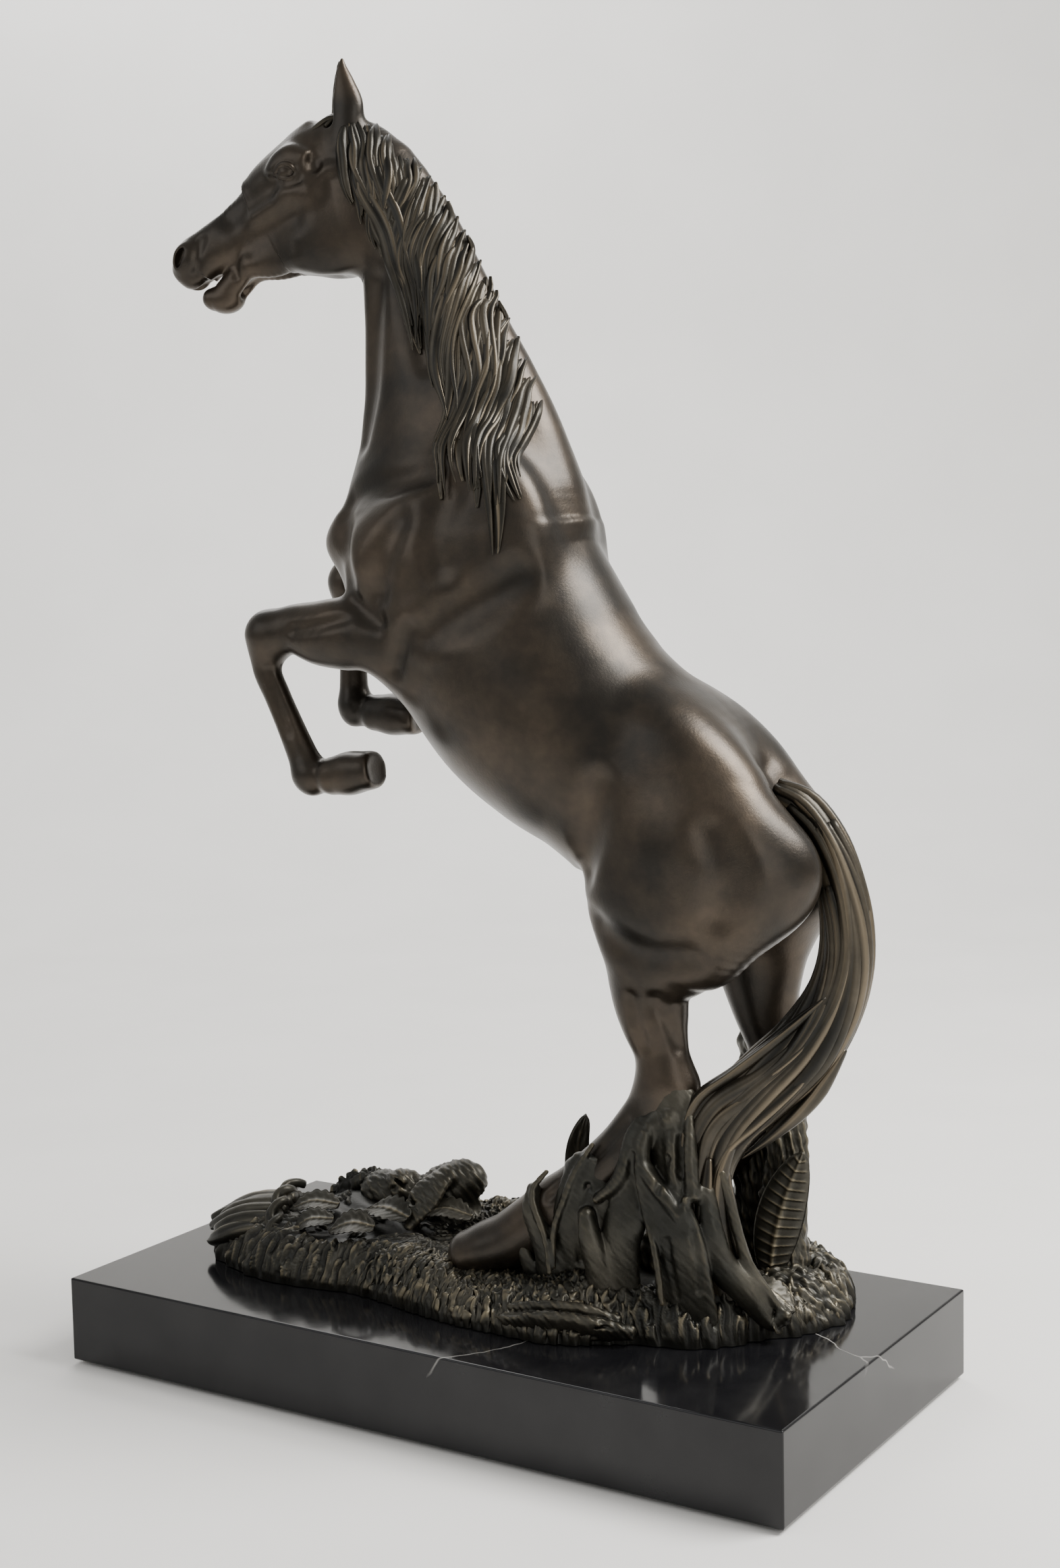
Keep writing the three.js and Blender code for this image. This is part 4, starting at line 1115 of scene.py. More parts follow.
def make_tail():
    """A solid core with grooved strands laid round it, which part into pointed tips."""
    spine = smooth_rows(TAIL_CORE, 3)
    parts = []
    for k in range(TAIL_STRANDS):
        around = 2 * math.pi * k / TAIL_STRANDS + RNG.uniform(-0.1, 0.1)
        first = RNG.choice((0, 0, 2, 5, 9))
        last = len(spine) - RNG.choice((0, 0, 1, 3, 6))
        path = []
        for i in range(first, last, 3):
            x, y, z, a, b = spine[i]
            turn = around + 1.2 * i / len(spine) + 0.22 * math.sin(i * 0.24 + k)
            along = unit(spine[min(i + 1, len(spine) - 1)][:3] - spine[max(i - 1, 0)][:3])
            across = unit(np.cross(along, (0, 1, 0)))
            sideways = np.array([0, 1, 0])
            path.append(np.array([x, y, z]) + across * math.cos(turn) * a * 0.8
                        + sideways * math.sin(turn) * b * 0.8)
        parts.append(lock(path, 3.6, 3.0, RNG.choice((2, 3)), k * 2.1, steps=60, sides=16, ends=(0.6, 0.15)))
    parts.append(lock([p[:3] for p in spine], 8.5, 7.5, 5, 0.0, steps=60, sides=32, ends=(0.7, 0.8)))
    for k, path in enumerate(TAIL_RIDGES):
        parts.append(lock(path, RNG.uniform(2.6, 3.6), 3.2, 4, k * 1.9, steps=56, sides=24,
                          ends=(0.35, 0.1)))
        shifted = []
        for p in path:
            shift = [RNG.uniform(-2.5, 2.5), RNG.uniform(-0.6, 1.2), RNG.uniform(-2, 2)]
            shifted.append(np.array(p) + np.array(shift))
        parts.append(lock(shifted, 1.8, 2.0, 2, k * 2.7, steps=56, sides=12, ends=(0.35, 0.1)))
    points, faces, wear = joined_meshes(parts)
    points[:, 2] = np.maximum(points[:, 2], 4)
    piece("tail", points, faces, HAIR_BRONZE, ["tail_casting"], wear=wear)


# ------------------------------------------------------------------ ground
def outline_reach(angles):
    """How far the ground reaches from its middle in each direction."""
    closed = GROUND_OUTLINE + GROUND_OUTLINE[:3]
    soft = smooth_rows(closed, 10)[10:-10]
    theta, radius = np.arctan2(soft[:, 1], soft[:, 0]), np.hypot(soft[:, 0], soft[:, 1])
    order = np.argsort(theta)
    return np.interp(angles, theta[order], radius[order], period=2 * math.pi)


class HeightMap:
    """Heights on a square grid, in the bronze's frame, that strokes and stones are stamped on."""

    def __init__(self, pitch):
        self.pitch = pitch
        self.x = np.arange(-158, 160, pitch)
        self.y = np.arange(-72, 74, pitch)
        gx, gy = np.meshgrid(self.x, self.y, indexing="ij")
        self.gx, self.gy = gx, gy

        def mound(x, y, reach, height):
            return height * np.exp(-((gx - x) ** 2 + (gy - y) ** 2) / reach ** 2)

        self.z = (18 + 3 * np.sin(gx / 31) * np.cos(gy / 22) + 2 * np.sin(gx / 13 + gy / 17)
                  + mound(-108, 16, 40, 9) + mound(100, 24, 34, 3)
                  + mound(-30, 22, 26, 6) + mound(-66, 12, 26, 5))
        self.z += mound(60, -30, 34, 3) + 1.0 * np.sin(gx / 5.3 + 2 * np.sin(gy / 7)) * np.cos(gy / 4.6)
        self.base = self.z.copy()

    def window(self, x, y, reach):
        """The part of the grid within reach of a place."""
        i0 = max(0, int((x - reach - self.x[0]) / self.pitch))
        i1 = min(len(self.x), int((x + reach - self.x[0]) / self.pitch) + 2)
        j0 = max(0, int((y - reach - self.y[0]) / self.pitch))
        j1 = min(len(self.y), int((y + reach - self.y[0]) / self.pitch) + 2)
        return slice(i0, i1), slice(j0, j1)

    def stroke(self, path, width, height):
        """A tapered raised blade along a short path."""
        path = smooth_rows(path, 5)
        for k in range(len(path) - 1):
            t = k / (len(path) - 1)
            w = width * (1 - t) ** 0.6 * min(1, 0.5 + 3 * t) + 0.25
            (x0, y0), (x1, y1) = path[k], path[k + 1]
            s = self.window((x0 + x1) / 2, (y0 + y1) / 2, w + 1.5)
            gx, gy = self.gx[s], self.gy[s]
            length2 = (x1 - x0) ** 2 + (y1 - y0) ** 2 + 1e-9
            u = np.clip(((gx - x0) * (x1 - x0) + (gy - y0) * (y1 - y0)) / length2, 0, 1)
            away = np.hypot(gx - x0 - u * (x1 - x0), gy - y0 - u * (y1 - y0))
            rise = height * (1 - 0.75 * t) * np.sqrt(np.clip(1 - (away / w) ** 2, 0, 1))
            self.z[s] = np.maximum(self.z[s], self.base[s] + rise)

    def blade(self, rng, x, y, heading, length, width, height):
        """One wavy blade of grass that starts at x, y."""
        path, sway = [(x, y)], rng.uniform(0, 6)
        for step in range(4):
            turn = heading + 0.5 * math.sin(sway + step * 1.9)
            path.append((path[-1][0] + math.cos(turn) * length / 4,
                         path[-1][1] + math.sin(turn) * length / 4))
        self.stroke(path, width, height)

    def stone(self, x, y, rx, ry, height, power=3):
        """A flat-topped lump that lifts whatever is stroked on it later."""
        s = self.window(x, y, max(rx, ry) * 1.1)
        r = (np.abs((self.gx[s] - x) / rx) ** power + np.abs((self.gy[s] - y) / ry) ** power)
        cap = np.clip(1 - r, 0, 1) ** (1 / power)
        lumps = 1 + 0.1 * np.sin(self.gx[s] * 0.9 + y) * np.cos(self.gy[s] * 1.1 + x)
        self.base[s] += height * cap * lumps
        self.z[s] = self.base[s]

    def low(self, x, y):
        """The height without strokes and stones."""
        return self.at(x, y, self.base)

    def at(self, x, y, z=None):
        """The height at any places, shared out between the four grid points round each."""
        i = np.clip((x - self.x[0]) / self.pitch, 0, len(self.x) - 1.001)
        j = np.clip((y - self.y[0]) / self.pitch, 0, len(self.y) - 1.001)
        i0, j0 = i.astype(int), j.astype(int)
        u, v = i - i0, j - j0
        z = self.z if z is None else z
        return ((z[i0, j0] * (1 - v) + z[i0, j0 + 1] * v) * (1 - u)
                + (z[i0 + 1, j0] * (1 - v) + z[i0 + 1, j0 + 1] * v) * u)


# Stones: x, y, half length, half width, height.
STONES = [
    (134, 6, 13, 12, 5), (118, -30, 12, 9, 5), (104, -44, 10, 7, 3), (140, 30, 11, 12, 6),
    (40, 44, 22, 11, 5), (-6, 40, 20, 10, 4), (96, 48, 22, 13, 5), (-86, 30, 18, 10, 8),
]


def ground_map():
    """Grass tufts combed outward and down the slopes, stones, ledges and scattered leaves."""
    land = HeightMap(LAND_PITCH)
    for stone in STONES:
        land.stone(*stone)
    # Rows of wavy blades combed down the slope, then loose tufts over the middle.
    for inset in (29, 24, 19.5, 15, 11, 7, 3.5):
        for k in range(240):
            angle = 2 * math.pi * (k + RNG.uniform(-0.4, 0.4)) / 240
            reach = float(outline_reach(np.array([angle]))[0]) - inset + RNG.uniform(-2, 2)
            x, y = reach * math.cos(angle), reach * math.sin(angle)
            heading = math.atan2(y * 2.4, x * 0.5) + 0.45 * math.sin(angle * 11 + inset * 0.3)
            heading += RNG.uniform(-0.22, 0.22)
            land.blade(RNG, x, y, heading, RNG.uniform(6, 10), RNG.uniform(0.6, 0.9), RNG.uniform(1.3, 2.6))
    for k in range(330):
        angle, share = RNG.uniform(0, 2 * math.pi), RNG.uniform(0.1, 0.8)
        reach = float(outline_reach(np.array([angle]))[0])
        x, y = reach * share * math.cos(angle), reach * share * math.sin(angle)
        heading = math.atan2(y * 1.5, x * 0.6) + RNG.uniform(-0.7, 0.7)
        for _ in range(5):
            land.blade(RNG, x + RNG.uniform(-4, 4), y + RNG.uniform(-4, 4), heading + RNG.uniform(-0.4, 0.4),
                       RNG.uniform(4, 9), RNG.uniform(0.6, 1.0), RNG.uniform(0.8, 1.8))
    return land


def make_ground(land):
    """The ground as rings from the middle out, over the rim and down to the marble."""
    angles = np.arange(GROUND_SPOKES) * 2 * math.pi / GROUND_SPOKES - math.pi
    reach = outline_reach(angles)
    reach = reach * (1 + 0.006 * np.sin(angles * 37) + 0.006 * np.sin(angles * 83 + 1)
                     + 0.004 * np.sin(angles * 131))
    shares = np.linspace(0.01, 1, GROUND_RINGS) ** 0.8
    points, insets = [], []
    for share in shares:
        x, y = reach * share * np.cos(angles), reach * share * np.sin(angles)
        inset = reach * (1 - share)
        far_end = np.exp(-((np.abs(angles) - math.pi) / 0.3) ** 2)
        slope = 21 + 4 * np.sin(angles * 7) + 2 * np.sin(angles * 19 + 2) + 26 * far_end
        rise = np.clip(inset / slope, 0, 1)
        edge = (1 - (1 - rise) ** 1.9) ** 0.7
        points.append(np.stack([x, y, land.low(x, y) * edge + 0.35], 1))
        insets.append(inset)
    rings = len(points)
    foot = np.full(len(angles), GROUND_FLOOR)
    points.append(np.stack([reach * np.cos(angles), reach * np.sin(angles), foot], 1))
    middle = float(land.at(np.array([0.0]), np.array([0.0]))[0])
    points = np.vstack([[[0, 0, middle]], *points, [[0, 0, GROUND_FLOOR]]])
    n, faces = len(angles), []
    for j in range(n):
        faces.append((0, 1 + j, 1 + (j + 1) % n))
    for i in range(rings):
        a, b = 1 + i * n, 1 + (i + 1) * n
        faces += [(a + j, b + j, b + (j + 1) % n, a + (j + 1) % n) for j in range(n)]
    last, bottom = 1 + rings * n, len(points) - 1
    faces += [(last + j, bottom, last + (j + 1) % n) for j in range(n)]
    quads = np.array([f for f in faces if len(f) == 4])
    rise = land.at(points[:, 0], points[:, 1]) - land.low(points[:, 0], points[:, 1])
    fade = np.concatenate([[1], *[np.clip(inset / 1.2, 0, 1) for inset in insets], np.zeros(n + 1)])
    grain = 0.5 + 0.5 * np.sin(points[:, 0] * 1.7 + 3 * np.sin(points[:, 1] * 0.9))
    points = points + surface_normals(points, quads) * (rise * fade)[:, None]
    points[:, 2] = np.maximum(points[:, 2], GROUND_FLOOR)
    piece("ground", points, faces, GROUND_BRONZE, ["ground_casting"],
          wear=np.clip(0.16 + 0.33 * rise * fade * (0.7 + 0.3 * grain), 0, 1))


def make_boulders():
    """The dark boulder and the folded, hollowed rock behind the left hind hoof."""
    bed = [(-84, 24, 8, 10, 12), (-60, 25, 12, 12, 14), (-36, 24, 12, 14, 14), (-14, 20, 8, 10, 12)]
    fold = [(-36, 16, 42, 3.5, 5), (-42, 9, 36, 3, 8), (-46, 3, 28, 3, 7), (-48, -4, 20, 2, 2)]
    shapes = [("+", Limb(bed, 4)),
              ("+", Blob((-70, 23, 27), (15, 12, 11), 3, x=(1, 0.1, -0.25))),
              ("+", Blob((-60, 20, 33), (10, 9, 7), 3, x=(1, 0.1, -0.4))),
              ("+", Blob((-40, 23, 28), (14, 12, 16), 4, x=(1, 0, 0.5))),
              ("+", Blob((-32, 23, 38), (11, 9, 9), 4, x=(1, 0.1, -0.2))),
              ("+", Limb(fold, 3, (1, 0.2, 0.3))),
              ("-", line([(-55, 20, 42), (-54, 12, 34), (-57, 4, 24)], 3, 3)),
              ("-", Blob((-70, 12, 24), (8, 3, 2), 3))]
    for _ in range(24):
        x, y, z = RNG.uniform(-84, -22), RNG.uniform(2, 30), RNG.uniform(14, 48)
        r = RNG.uniform(1.2, 2.4)
        heading = (1, RNG.uniform(-0.6, 0.6), RNG.uniform(-0.8, 0.8))
        shapes.append(("-", Blob((x, y, z), (r * 2.4, r * 1.6, r * 0.6), 2, x=heading)))
    box = ((-102, -10, -2), (4, 48, 56))
    rough_piece("boulders", shapes, box, grid=BOULDER_GRID, rounds=2, amount=0.3, proud=3.4)


def make_slab():
    """A lens of flat layered rock lying on the near slope, under the roots."""
    shapes = []
    lower = [(20, -57, 3, 2.6, 4), (34, -59, 5.5, 3, 7), (50, -59.5, 7, 3, 8), (66, -58, 7, 3, 6.5),
             (80, -54, 6, 2.4, 3.5)]
    upper = [(28, -55, 9, 2.2, 4), (44, -57, 12, 2.4, 5), (60, -56, 12.5, 2.4, 5), (74, -53, 10, 2, 3)]
    for rows in (lower, upper):
        shapes.append(("+", Limb(rows, 1.0, (0, -0.55, 0.83), power=2.6)))
    for _ in range(26):
        x, z = RNG.uniform(20, 80), RNG.uniform(2, 14)
        place = (x, -60 - RNG.uniform(0, 2), z)
        radii = (RNG.uniform(2, 6), 1.6, RNG.uniform(0.6, 1.4))
        heading = (1, RNG.uniform(-0.2, 0.2), RNG.uniform(-0.15, 0.15))
        shapes.append(("-", Blob(place, radii, 0.8, x=heading)))
    box = ((6, -72, -2), (92, -40, 20))
    rough_piece("ledge", shapes, box, grid=LEDGE_GRID, rounds=1, amount=0.2, proud=3, floor=0.4)


def make_log():
    """The broken log at the left end, with a vine bound round it."""
    parts = []
    for k in range(9):
        y = -14 + 3.5 * k
        z = 7 + 11 * math.sin((k + 0.5) / 9 * math.pi)
        torn_end = -153 + abs(k - 4) * 1.5 + 5 * (k % 2)
        path = [(torn_end, y * 0.8, z * 0.75), (-142, y * 1.05, z), (-128, y * 1.2, z + 6),
                (-108, y * 1.1, z + 10)]
        parts.append(lock(path, 4.6, 4.2, 4, k * 1.1, steps=40, facing=(0, 0, 1), ends=(0.5, 0.6)))
    joined_piece("fallen_log", parts, GROUND_BRONZE)
    parts = []
    base = [(-114, 14, 29), (-114, 2, 29), (-112, -8, 26), (-109, -18, 20), (-104, -27, 13), (-98, -35, 4)]
    spine = smooth_rows(base, 6)
    for k in range(2):
        path = []
        for i, p in enumerate(spine[::2]):
            turn = i * 1.15 + math.pi * k
            path.append(p + np.array([math.cos(turn) * 2.4, 0, math.sin(turn) * 1.8 + 1]))
        parts.append(lock(path, 2.4, 2.4, 3, k, steps=60, sides=14, facing=(0, 0, 1), ends=(0.8, 0.6)))
    joined_piece("vine_band", parts, GROUND_BRONZE)


# ------------------------------------------------------------------ stump and leaves
# Lumps of the stump's foot: x, y, height, size.
STUMP_FOOT = [
    (137, 6, 8, 8), (145, 4, 4, 6), (128, -6, 10, 8), (139, 18, 10, 9), (120, 2, 12, 9), (131, 30, 8, 9),
    (112, -2, 12, 7), (146, 16, 4, 6), (136, -10, 6, 7), (118, 54, 8, 8), (96, 52, 8, 8),
]


def make_stump():
    """Split bark all the way up, and a broad foot that spreads over the ground towards the near right."""
    buttress = [(123, 24, 88, 6, 8), (123, 20, 66, 8, 9), (122, 17, 40, 9, 10), (123, 14, 10, 12, 12)]
    shapes = [("+", Limb(STUMP, 3)), ("+", Limb(buttress, 5, (1, 0, 0)))]
    for x, y, z, r in STUMP_FOOT:
        shapes.append(("+", Blob((x, y, z), (r * 1.1, r, r * 0.9), 3, x=(1, 0.3, 0.2))))
    for _ in range(30):
        x, y, z = RNG.uniform(108, 150), RNG.uniform(-14, 30), RNG.uniform(2, 22)
        r = RNG.uniform(1.5, 3.5)
        heading = (RNG.uniform(-1, 1), RNG.uniform(-1, 1), 0.4)
        shapes.append(("-", Blob((x, y, z), (r * 2, r, r), 1.5, x=heading)))
    shapes += both("-", lambda s: line([(104 + s, 18, 60), (110 + s, 22, 30), (112 + s, 20, 8)], 2, 3))
    shapes += [("+", Blob((88, -4, 22), (20, 13, 25), 5)), ("+", Blob((76, -6, 18), (16, 12, 18), 5))]
    box = ((56, -26, -2), (160, 72, 172))
    rough_piece("stump_bark", shapes, box, grid=STUMP_GRID, rounds=1, amount=0.75, proud=3,
                replaced=["tree_stump_casting"], waves=BARK_WAVES)


# Leaves and broken roots that wrap the left hind leg: x, y, height, half thickness, half width.
ROOTS = [
    [(30, -36, 56, 2.5, 3), (30, -39, 48, 3, 4), (33, -40, 40, 3.5, 5), (37, -42, 30, 4, 6),
     (40, -44, 9, 4, 8)],
    [(24, -39, 32, 2, 1.5), (26, -41, 27, 2.5, 3), (31, -42, 9, 3, 5)],
    [(53, -35, 70, 3, 5), (48, -37, 56, 3.5, 6.5), (46, -39, 40, 4, 6.5), (47, -41, 9, 4, 8)],
    [(78, -32, 89, 3, 3), (75, -36, 82, 3.2, 3.4), (73, -39, 72, 3.2, 3.2), (69, -40.5, 63, 3, 3),
     (61, -40.5, 56, 2.4, 2)],
    [(83, -33, 90, 3, 3), (80, -38, 80, 3.5, 3.6), (81, -40.5, 69, 3.6, 3.6), (83, -42, 59, 3.2, 3.4),
     (87, -43, 47, 3.2, 3.4), (90, -44, 35, 3.4, 3.8), (91, -46, 9, 4, 6)],
    [(77, -35, 72, 3, 4), (75, -38, 60, 3.4, 7), (73, -40, 48, 4, 9), (71, -42, 36, 4, 8),
     (70, -45, 9, 4.5, 8)],
    [(56.5, -43, 49, 4, 4), (58, -44.5, 42, 4.4, 4.8), (60.5, -46, 32, 4.6, 5.4), (64, -48, 9, 5, 6.5)],
    [(84, -40, 70, 2, 2), (88, -42, 62, 3, 5), (95, -43, 54, 3.4, 8), (99, -44.5, 44, 3.6, 9),
     (101, -46, 32, 4, 9.5), (102, -48, 9, 4.5, 11)],
    [(81.5, -42.5, 72, 1.3, 1.3), (87, -45, 67, 1.8, 2.4), (93, -46, 61, 1.8, 2.4),
     (98, -46, 55, 1.6, 1.8)],
    [(100, -44, 52, 2.6, 3), (101, -45, 61, 1.0, 0.9)],
    [(91, -29, 99, 1.5, 1.2), (93, -37, 80, 3, 2.8), (96, -41, 62, 3, 3)],
    [(98, -29, 100, 1.5, 1.2), (101, -38, 80, 3, 2.8), (103, -41, 62, 3, 3)],
    [(52, -33, 68, 4, 9), (55, -34, 52, 5, 13), (55, -36, 34, 6, 16), (54, -38, 10, 7, 19)],
    [(90, -27, 100, 8, 9), (92, -30, 76, 8, 11), (97, -32, 50, 8, 10), (98, -35, 9, 10, 13)],
    [(107, -36, 62, 4, 4), (110, -38, 46, 4.5, 5), (113, -38.5, 32, 5, 6.5), (122, -38, 21, 4.5, 6),
     (131, -37, 9, 3.6, 3.8), (138, -36, 12, 2, 2)],
    [(113, -34, 70, 1.6, 1.6), (117, -33, 54, 2, 2.2), (120, -33, 42, 2, 2.2),
     (123, -34, 32, 2.2, 2.4), (131, -35, 20, 2, 2), (138, -35, 9, 1.2, 1.2)],
]
# Lips and midribs along them.
ROOT_LINES = [
    [(35, -34, 63), (31, -38, 57), (32, -41, 51), (36, -43, 43), (39, -44, 35), (41, -46, 24)],
    [(57, -36, 77), (50, -39, 65), (46, -41, 54), (42, -43, 41), (42, -44, 26)],
    [(84, -44, 52), (87, -46, 44), (90, -48, 32), (92, -49, 18)],
]
# Furrows between them: places as x and height, and the depth below 0.
ROOT_FURROWS = [
    ([(56, 60), (53, 46), (52, 28)], -1.2),
    ([(92, 76), (90, 64)], -1.0),
    ([(105, 48), (107, 36), (107, 24)], -0.8),
    ([(97, 84), (98, 70)], -1.0),
    ([(77, 76), (77, 66), (80, 56)], -1.0),
    ([(94, 44), (95, 32), (97, 20)], -0.5),
]


def make_roots():
    """One casting of overlapping leaves and torn roots, from the hock down to the ground."""
    shapes = []
    for rows in ROOTS:
        turned_in = [(x, y + 0.24 * max(0, 45 - z), z, thick, wide) for x, y, z, thick, wide in rows]
        shapes.append(("+", Limb(turned_in, 3.0, (1, 0, 0))))
    shapes.append(("+", Blob((91, -35, 91), (3, 3, 3.4), 2)))
    shapes += [("+", line(places, 1.5, 1.4)) for places in ROOT_LINES]
    shapes += marks(shapes, side_rows([(places, 1.5, depth, 2) for places, depth in ROOT_FURROWS], (-1,)))
    box = ((16, -62, -2), (146, -10, 112))
    rough_piece("root_and_leaf_mass", shapes, box, grid=ROOT_GRID, rounds=1, amount=0.07,
                proud=2.9, replaced=["wrapping_leaf", "low_leaf", "tall_leaf", "root_leaf", "side_leaf"])


def blade(path, width, thick, facing, curl, veins=7, lobes=0.0, steps=44, across=17, relief=0.35,
          slant=1.4, blunt=0.75):
    """A leaf blade: a cupped strip with a raised midrib and side veins, closed all round."""
    t, centre, side, out = swept(path, steps, facing)
    u = np.linspace(-1, 1, across)
    shape = np.sin(np.pi * np.clip(t * 0.92 + 0.08, 0, 1)) ** blunt
    shape = np.maximum(shape, 0.06) * (1 + lobes * np.abs(np.sin(t * math.pi * veins)))
    reach = width * shape[:, None] * u[None, :]
    lift = curl * width * shape[:, None] * (u[None, :] ** 2)
    rib = 0.9 * np.exp(-(u[None, :] / 0.12) ** 2) * (1 - 0.6 * t[:, None])
    ribs = veins * t[:, None] - slant * np.abs(u[None, :])
    vein = relief * np.maximum(0, np.cos(2 * math.pi * ribs)) ** 4
    vein = vein * (1 - u[None, :] ** 4)
    rise = (rib + vein) * min(1.0, width / 8)
    edge = np.clip(1 - u[None, :] ** 6, 0.12, 1)
    flat = centre[:, None, :] + side[:, None, :] * reach[..., None]
    front = flat + out[:, None, :] * (lift + thick * 0.5 * edge + rise)[..., None]
    back = flat + out[:, None, :] * (lift - thick * 0.5 * edge)[..., None]
    points = np.vstack([front.reshape(-1, 3), back.reshape(-1, 3)])
    total = steps * across
    faces = []
    for i in range(steps - 1):
        for j in range(across - 1):
            a, d = i * across + j, (i + 1) * across + j
            b, c = a + 1, d + 1
            faces += [(d, c, b, a), (a + total, b + total, c + total, d + total)]
        for j, turn in ((0, 1), (across - 1, -1)):
            a, d = i * across + j, (i + 1) * across + j
            quad = (a, a + total, d + total, d)
            faces.append(quad if turn < 0 else quad[::-1])
    for i, turn in ((0, -1), (steps - 1, 1)):
        for j in range(across - 1):
            a = i * across + j
            quad = (a, a + 1, a + 1 + total, a + total)
            faces.append(quad if turn < 0 else quad[::-1])
    wear = np.concatenate([(0.42 + 0.5 * (rib + vein)).ravel(), np.full(total, 0.3)])
    return points, faces, np.clip(wear, 0, 1)


# Leaves lying on the ground: the path along each, its half width and the way its face looks.
LYING_LEAVES = [
    ([(-57, -18, 24), (-66, -22, 26), (-76, -25, 22)], 7, (0, -0.4, 1)),
    ([(-46, -6, 26), (-57, -5, 29), (-68, -2, 27)], 7, (0, -0.4, 1)),
    ([(-80, -14, 24), (-90, -18, 24), (-98, -20, 18)], 6, (0, -0.4, 1)),
    ([(-20, 6, 26), (-32, 4, 29), (-42, 2, 26)], 6, (0, -0.4, 1)),
    ([(118, -18, 20), (128, -20, 18), (138, -18, 10)], 6, (0, -0.4, 1)),
    ([(60, 46, 22), (72, 52, 22), (84, 58, 14)], 6, (0, 0.4, 1)),
    ([(0, 40, 24), (-12, 46, 22), (-24, 50, 14)], 6, (0, 0.4, 1)),
    ([(-84, -2, 27), (-96, -4, 28), (-106, -8, 24)], 6, (0, -0.4, 1)),
]


def make_leaves():
    """The upright leaf behind the left hind leg, and the leaves lying on the ground."""
    path = [(45, 0, 14), (40, 1, 34), (35, 1, 52), (35, 0, 66), (39.5, -1, 80)]
    points, faces, wear = blade(path, 6.2, 2.6, (0.5, -1, 0.1), curl=0.3, blunt=0.42)
    piece("back_leaf_blade", points, faces, GROUND_BRONZE, ["back_leaf"], wear=wear)
    parts = [blade(path, width, 1.8, facing, curl=0.25, lobes=0.25)
             for path, width, facing in LYING_LEAVES]
    joined_piece("fallen_leaves", parts, GROUND_BRONZE)


def make_fern():
    """An oval leaf with close side ribs, pressed on the near side of the stump's foot."""
    path = [(121, 3, 18), (123, 3, 33), (127, 5, 50), (134, 8, 70)]
    points, faces, wear = blade(path, 10, 1.8, (0.2, -1, 0.12), curl=-0.12, veins=13, steps=110, across=25,
                                relief=0.9, slant=0.5, blunt=0.55)
    piece("ribbed_leaf", points, faces, GROUND_BRONZE, wear=wear)


# ------------------------------------------------------------------ plinth and fasteners
def make_plinth():
    """Polished block with a small worn bevel, standing where the CAD block stands."""
    low, high = PLINTH_LOW, PLINTH_HIGH
    mesh = bpy.data.meshes.new("plinth_block")
    work = bmesh.new()
    corners = [(x, y, z) for z in (low[2], high[2]) for x, y in
               ((low[0], low[1]), (high[0], low[1]), (high[0], high[1]), (low[0], high[1]))]
    points = [work.verts.new(c) for c in corners]
    for ring in ((3, 2, 1, 0), (4, 5, 6, 7), (0, 1, 5, 4), (1, 2, 6, 5), (2, 3, 7, 6), (3, 0, 4, 7)):
        work.faces.new([points[i] for i in ring])
    bmesh.ops.bevel(work, geom=work.edges[:], offset=PLINTH_BEVEL * 0.001, segments=4, profile=0.6,
                    affect="EDGES")
    work.to_mesh(mesh)
    work.free()
    mesh.shade_smooth()
    obj = new_object("plinth_block", mesh, MARBLE)
    obj.modifiers.new("flat_faces", "WEIGHTED_NORMAL").keep_sharp = True
    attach(obj, "root")
    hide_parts("marble_plinth")


def finish_hidden_parts():
    """Steel on the studs, washers and nuts, and felt on the pads."""
    for obj in bpy.data.objects:
        name = obj.name
        if name.startswith("mounting_"):
            dress(obj, STEEL)
        elif name.startswith("felt_pad"):
            dress(obj, FELT)


def dress(obj, material):
    """Gives every slot of an object one material."""
    for k in range(len(obj.material_slots)):
        obj.material_slots[k].material = material


# ------------------------------------------------------------------ camera, light and stage
def make_camera():
    """A camera looking down at the front and left side of the horse, with a slight roll."""
    back = Vector((math.sin(VIEW_AZIMUTH) * math.cos(VIEW_ELEVATION),
                   -math.cos(VIEW_AZIMUTH) * math.cos(VIEW_ELEVATION), math.sin(VIEW_ELEVATION)))
    level = Vector((math.cos(VIEW_AZIMUTH), math.sin(VIEW_AZIMUTH), 0))
    over = back.cross(level)
    right = math.cos(VIEW_ROLL) * level + math.sin(VIEW_ROLL) * over
    up = -math.sin(VIEW_ROLL) * level + math.cos(VIEW_ROLL) * over
    data = bpy.data.cameras.new("camera")
    data.lens, data.sensor_width = VIEW_LENS, 36
    camera = bpy.data.objects.new("camera", data)
    x, y, z = VIEW_PLACE
    camera.matrix_world = Matrix(((right.x, up.x, back.x, x), (right.y, up.y, back.y, y),
                                  (right.z, up.z, back.z, z), (0, 0, 0, 1)))
    bpy.context.collection.objects.link(camera)
    bpy.context.scene.camera = camera


def area_light(name, place, target, size, power, colour):
    """A soft rectangular light that looks at its target."""
    data = bpy.data.lights.new(name, "AREA")
    data.shape = "RECTANGLE"
    data.size, data.size_y = size
    data.energy = power
    data.color = colour
    light = bpy.data.objects.new(name, data)
    light.location = place
    light.rotation_mode = "QUATERNION"
    light.rotation_quaternion = (Vector(target) - Vector(place)).to_track_quat("-Z", "Y")
    bpy.context.collection.objects.link(light)


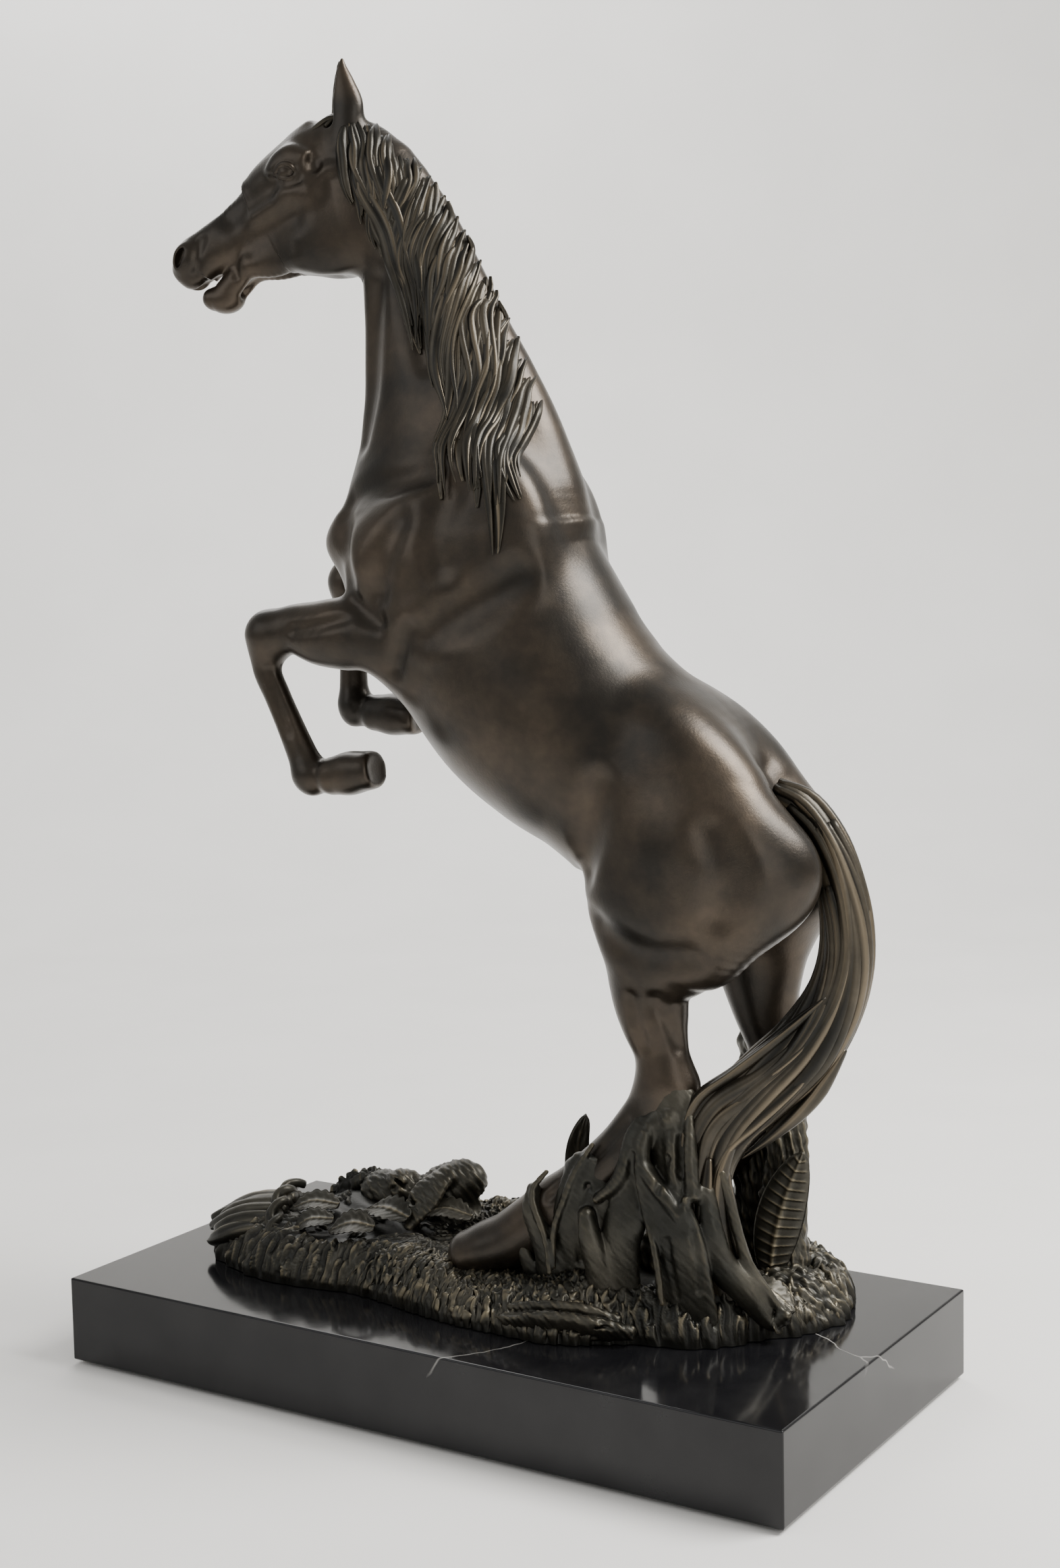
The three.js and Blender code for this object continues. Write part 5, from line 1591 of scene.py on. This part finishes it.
def make_lights():
    """One soft key from behind the tail, two fills, a wash on the wall and an even sky."""
    middle = (0, 0, 0.3)
    area_light("soft_key", (0.95, 0.35, 1.3), middle, (0.8, 0.8), 46, (1.0, 0.98, 0.95))
    area_light("front_fill", (-0.6, -1.3, 1.0), middle, (1.2, 0.9), 4, (0.95, 0.97, 1.0))
    area_light("side_fill", (1.5, -0.9, 0.6), middle, (0.7, 1.0), 5, (1.0, 0.98, 0.95))
    area_light("wall_wash", (-1.0, 0.9, 1.6), (-0.9, 1.7, 0.5), (1.2, 0.8), 16, (1.0, 1.0, 1.0))
    world = bpy.data.worlds.new("studio")
    world.use_nodes = True
    world.node_tree.nodes["Background"].inputs["Color"].default_value = (0.86, 0.85, 0.82, 1)
    world.node_tree.nodes["Background"].inputs["Strength"].default_value = 0.62
    bpy.context.scene.world = world


# The studio in metres, measured from the plinth's centre along the view.
FLOOR_FRONT, FLOOR_BACK = -1.6, 1.1
SWEEP_RADIUS = 0.7
SWEEP_STEPS = 12
WALL_TOP = 2.6
STUDIO_HALF_WIDTH = 3.0


def make_stage():
    """A pale sweep: floor, curved foot and back wall in one sheet."""
    profile = [(FLOOR_FRONT, 0.0), (FLOOR_BACK, 0.0)]
    for k in range(1, SWEEP_STEPS + 1):
        a = k / SWEEP_STEPS * math.pi / 2
        profile.append((FLOOR_BACK + SWEEP_RADIUS * math.sin(a), SWEEP_RADIUS * (1 - math.cos(a))))
    profile.append((FLOOR_BACK + SWEEP_RADIUS, WALL_TOP))
    c, s = math.cos(VIEW_AZIMUTH), math.sin(VIEW_AZIMUTH)
    points, faces = [], []
    for across in (-STUDIO_HALF_WIDTH, STUDIO_HALF_WIDTH):
        for depth, z in profile:
            points.append((across * c - depth * s, across * s + depth * c, z))
    n = len(profile)
    for k in range(n - 1):
        faces.append((k, k + n, k + 1 + n, k + 1))
    mesh = bpy.data.meshes.new("backdrop")
    mesh.from_pydata(points, [], faces)
    mesh.shade_smooth()
    paper = plain_surface("paper", (0.84, 0.83, 0.81), (0.87, 0.86, 0.84), 8, 0.85)
    backdrop = new_object("backdrop", mesh, paper)


def main():
    """Everything in order; the order fixes what the seeded draws give."""
    make_camera()
    make_lights()
    make_stage()
    make_plinth()
    land = ground_map()
    make_ground(land)
    make_boulders()
    make_slab()
    make_log()
    make_stump()
    make_roots()
    make_leaves()
    make_fern()
    make_mane(make_horse())
    make_forelock()
    make_tail()
    finish_hidden_parts()


main()
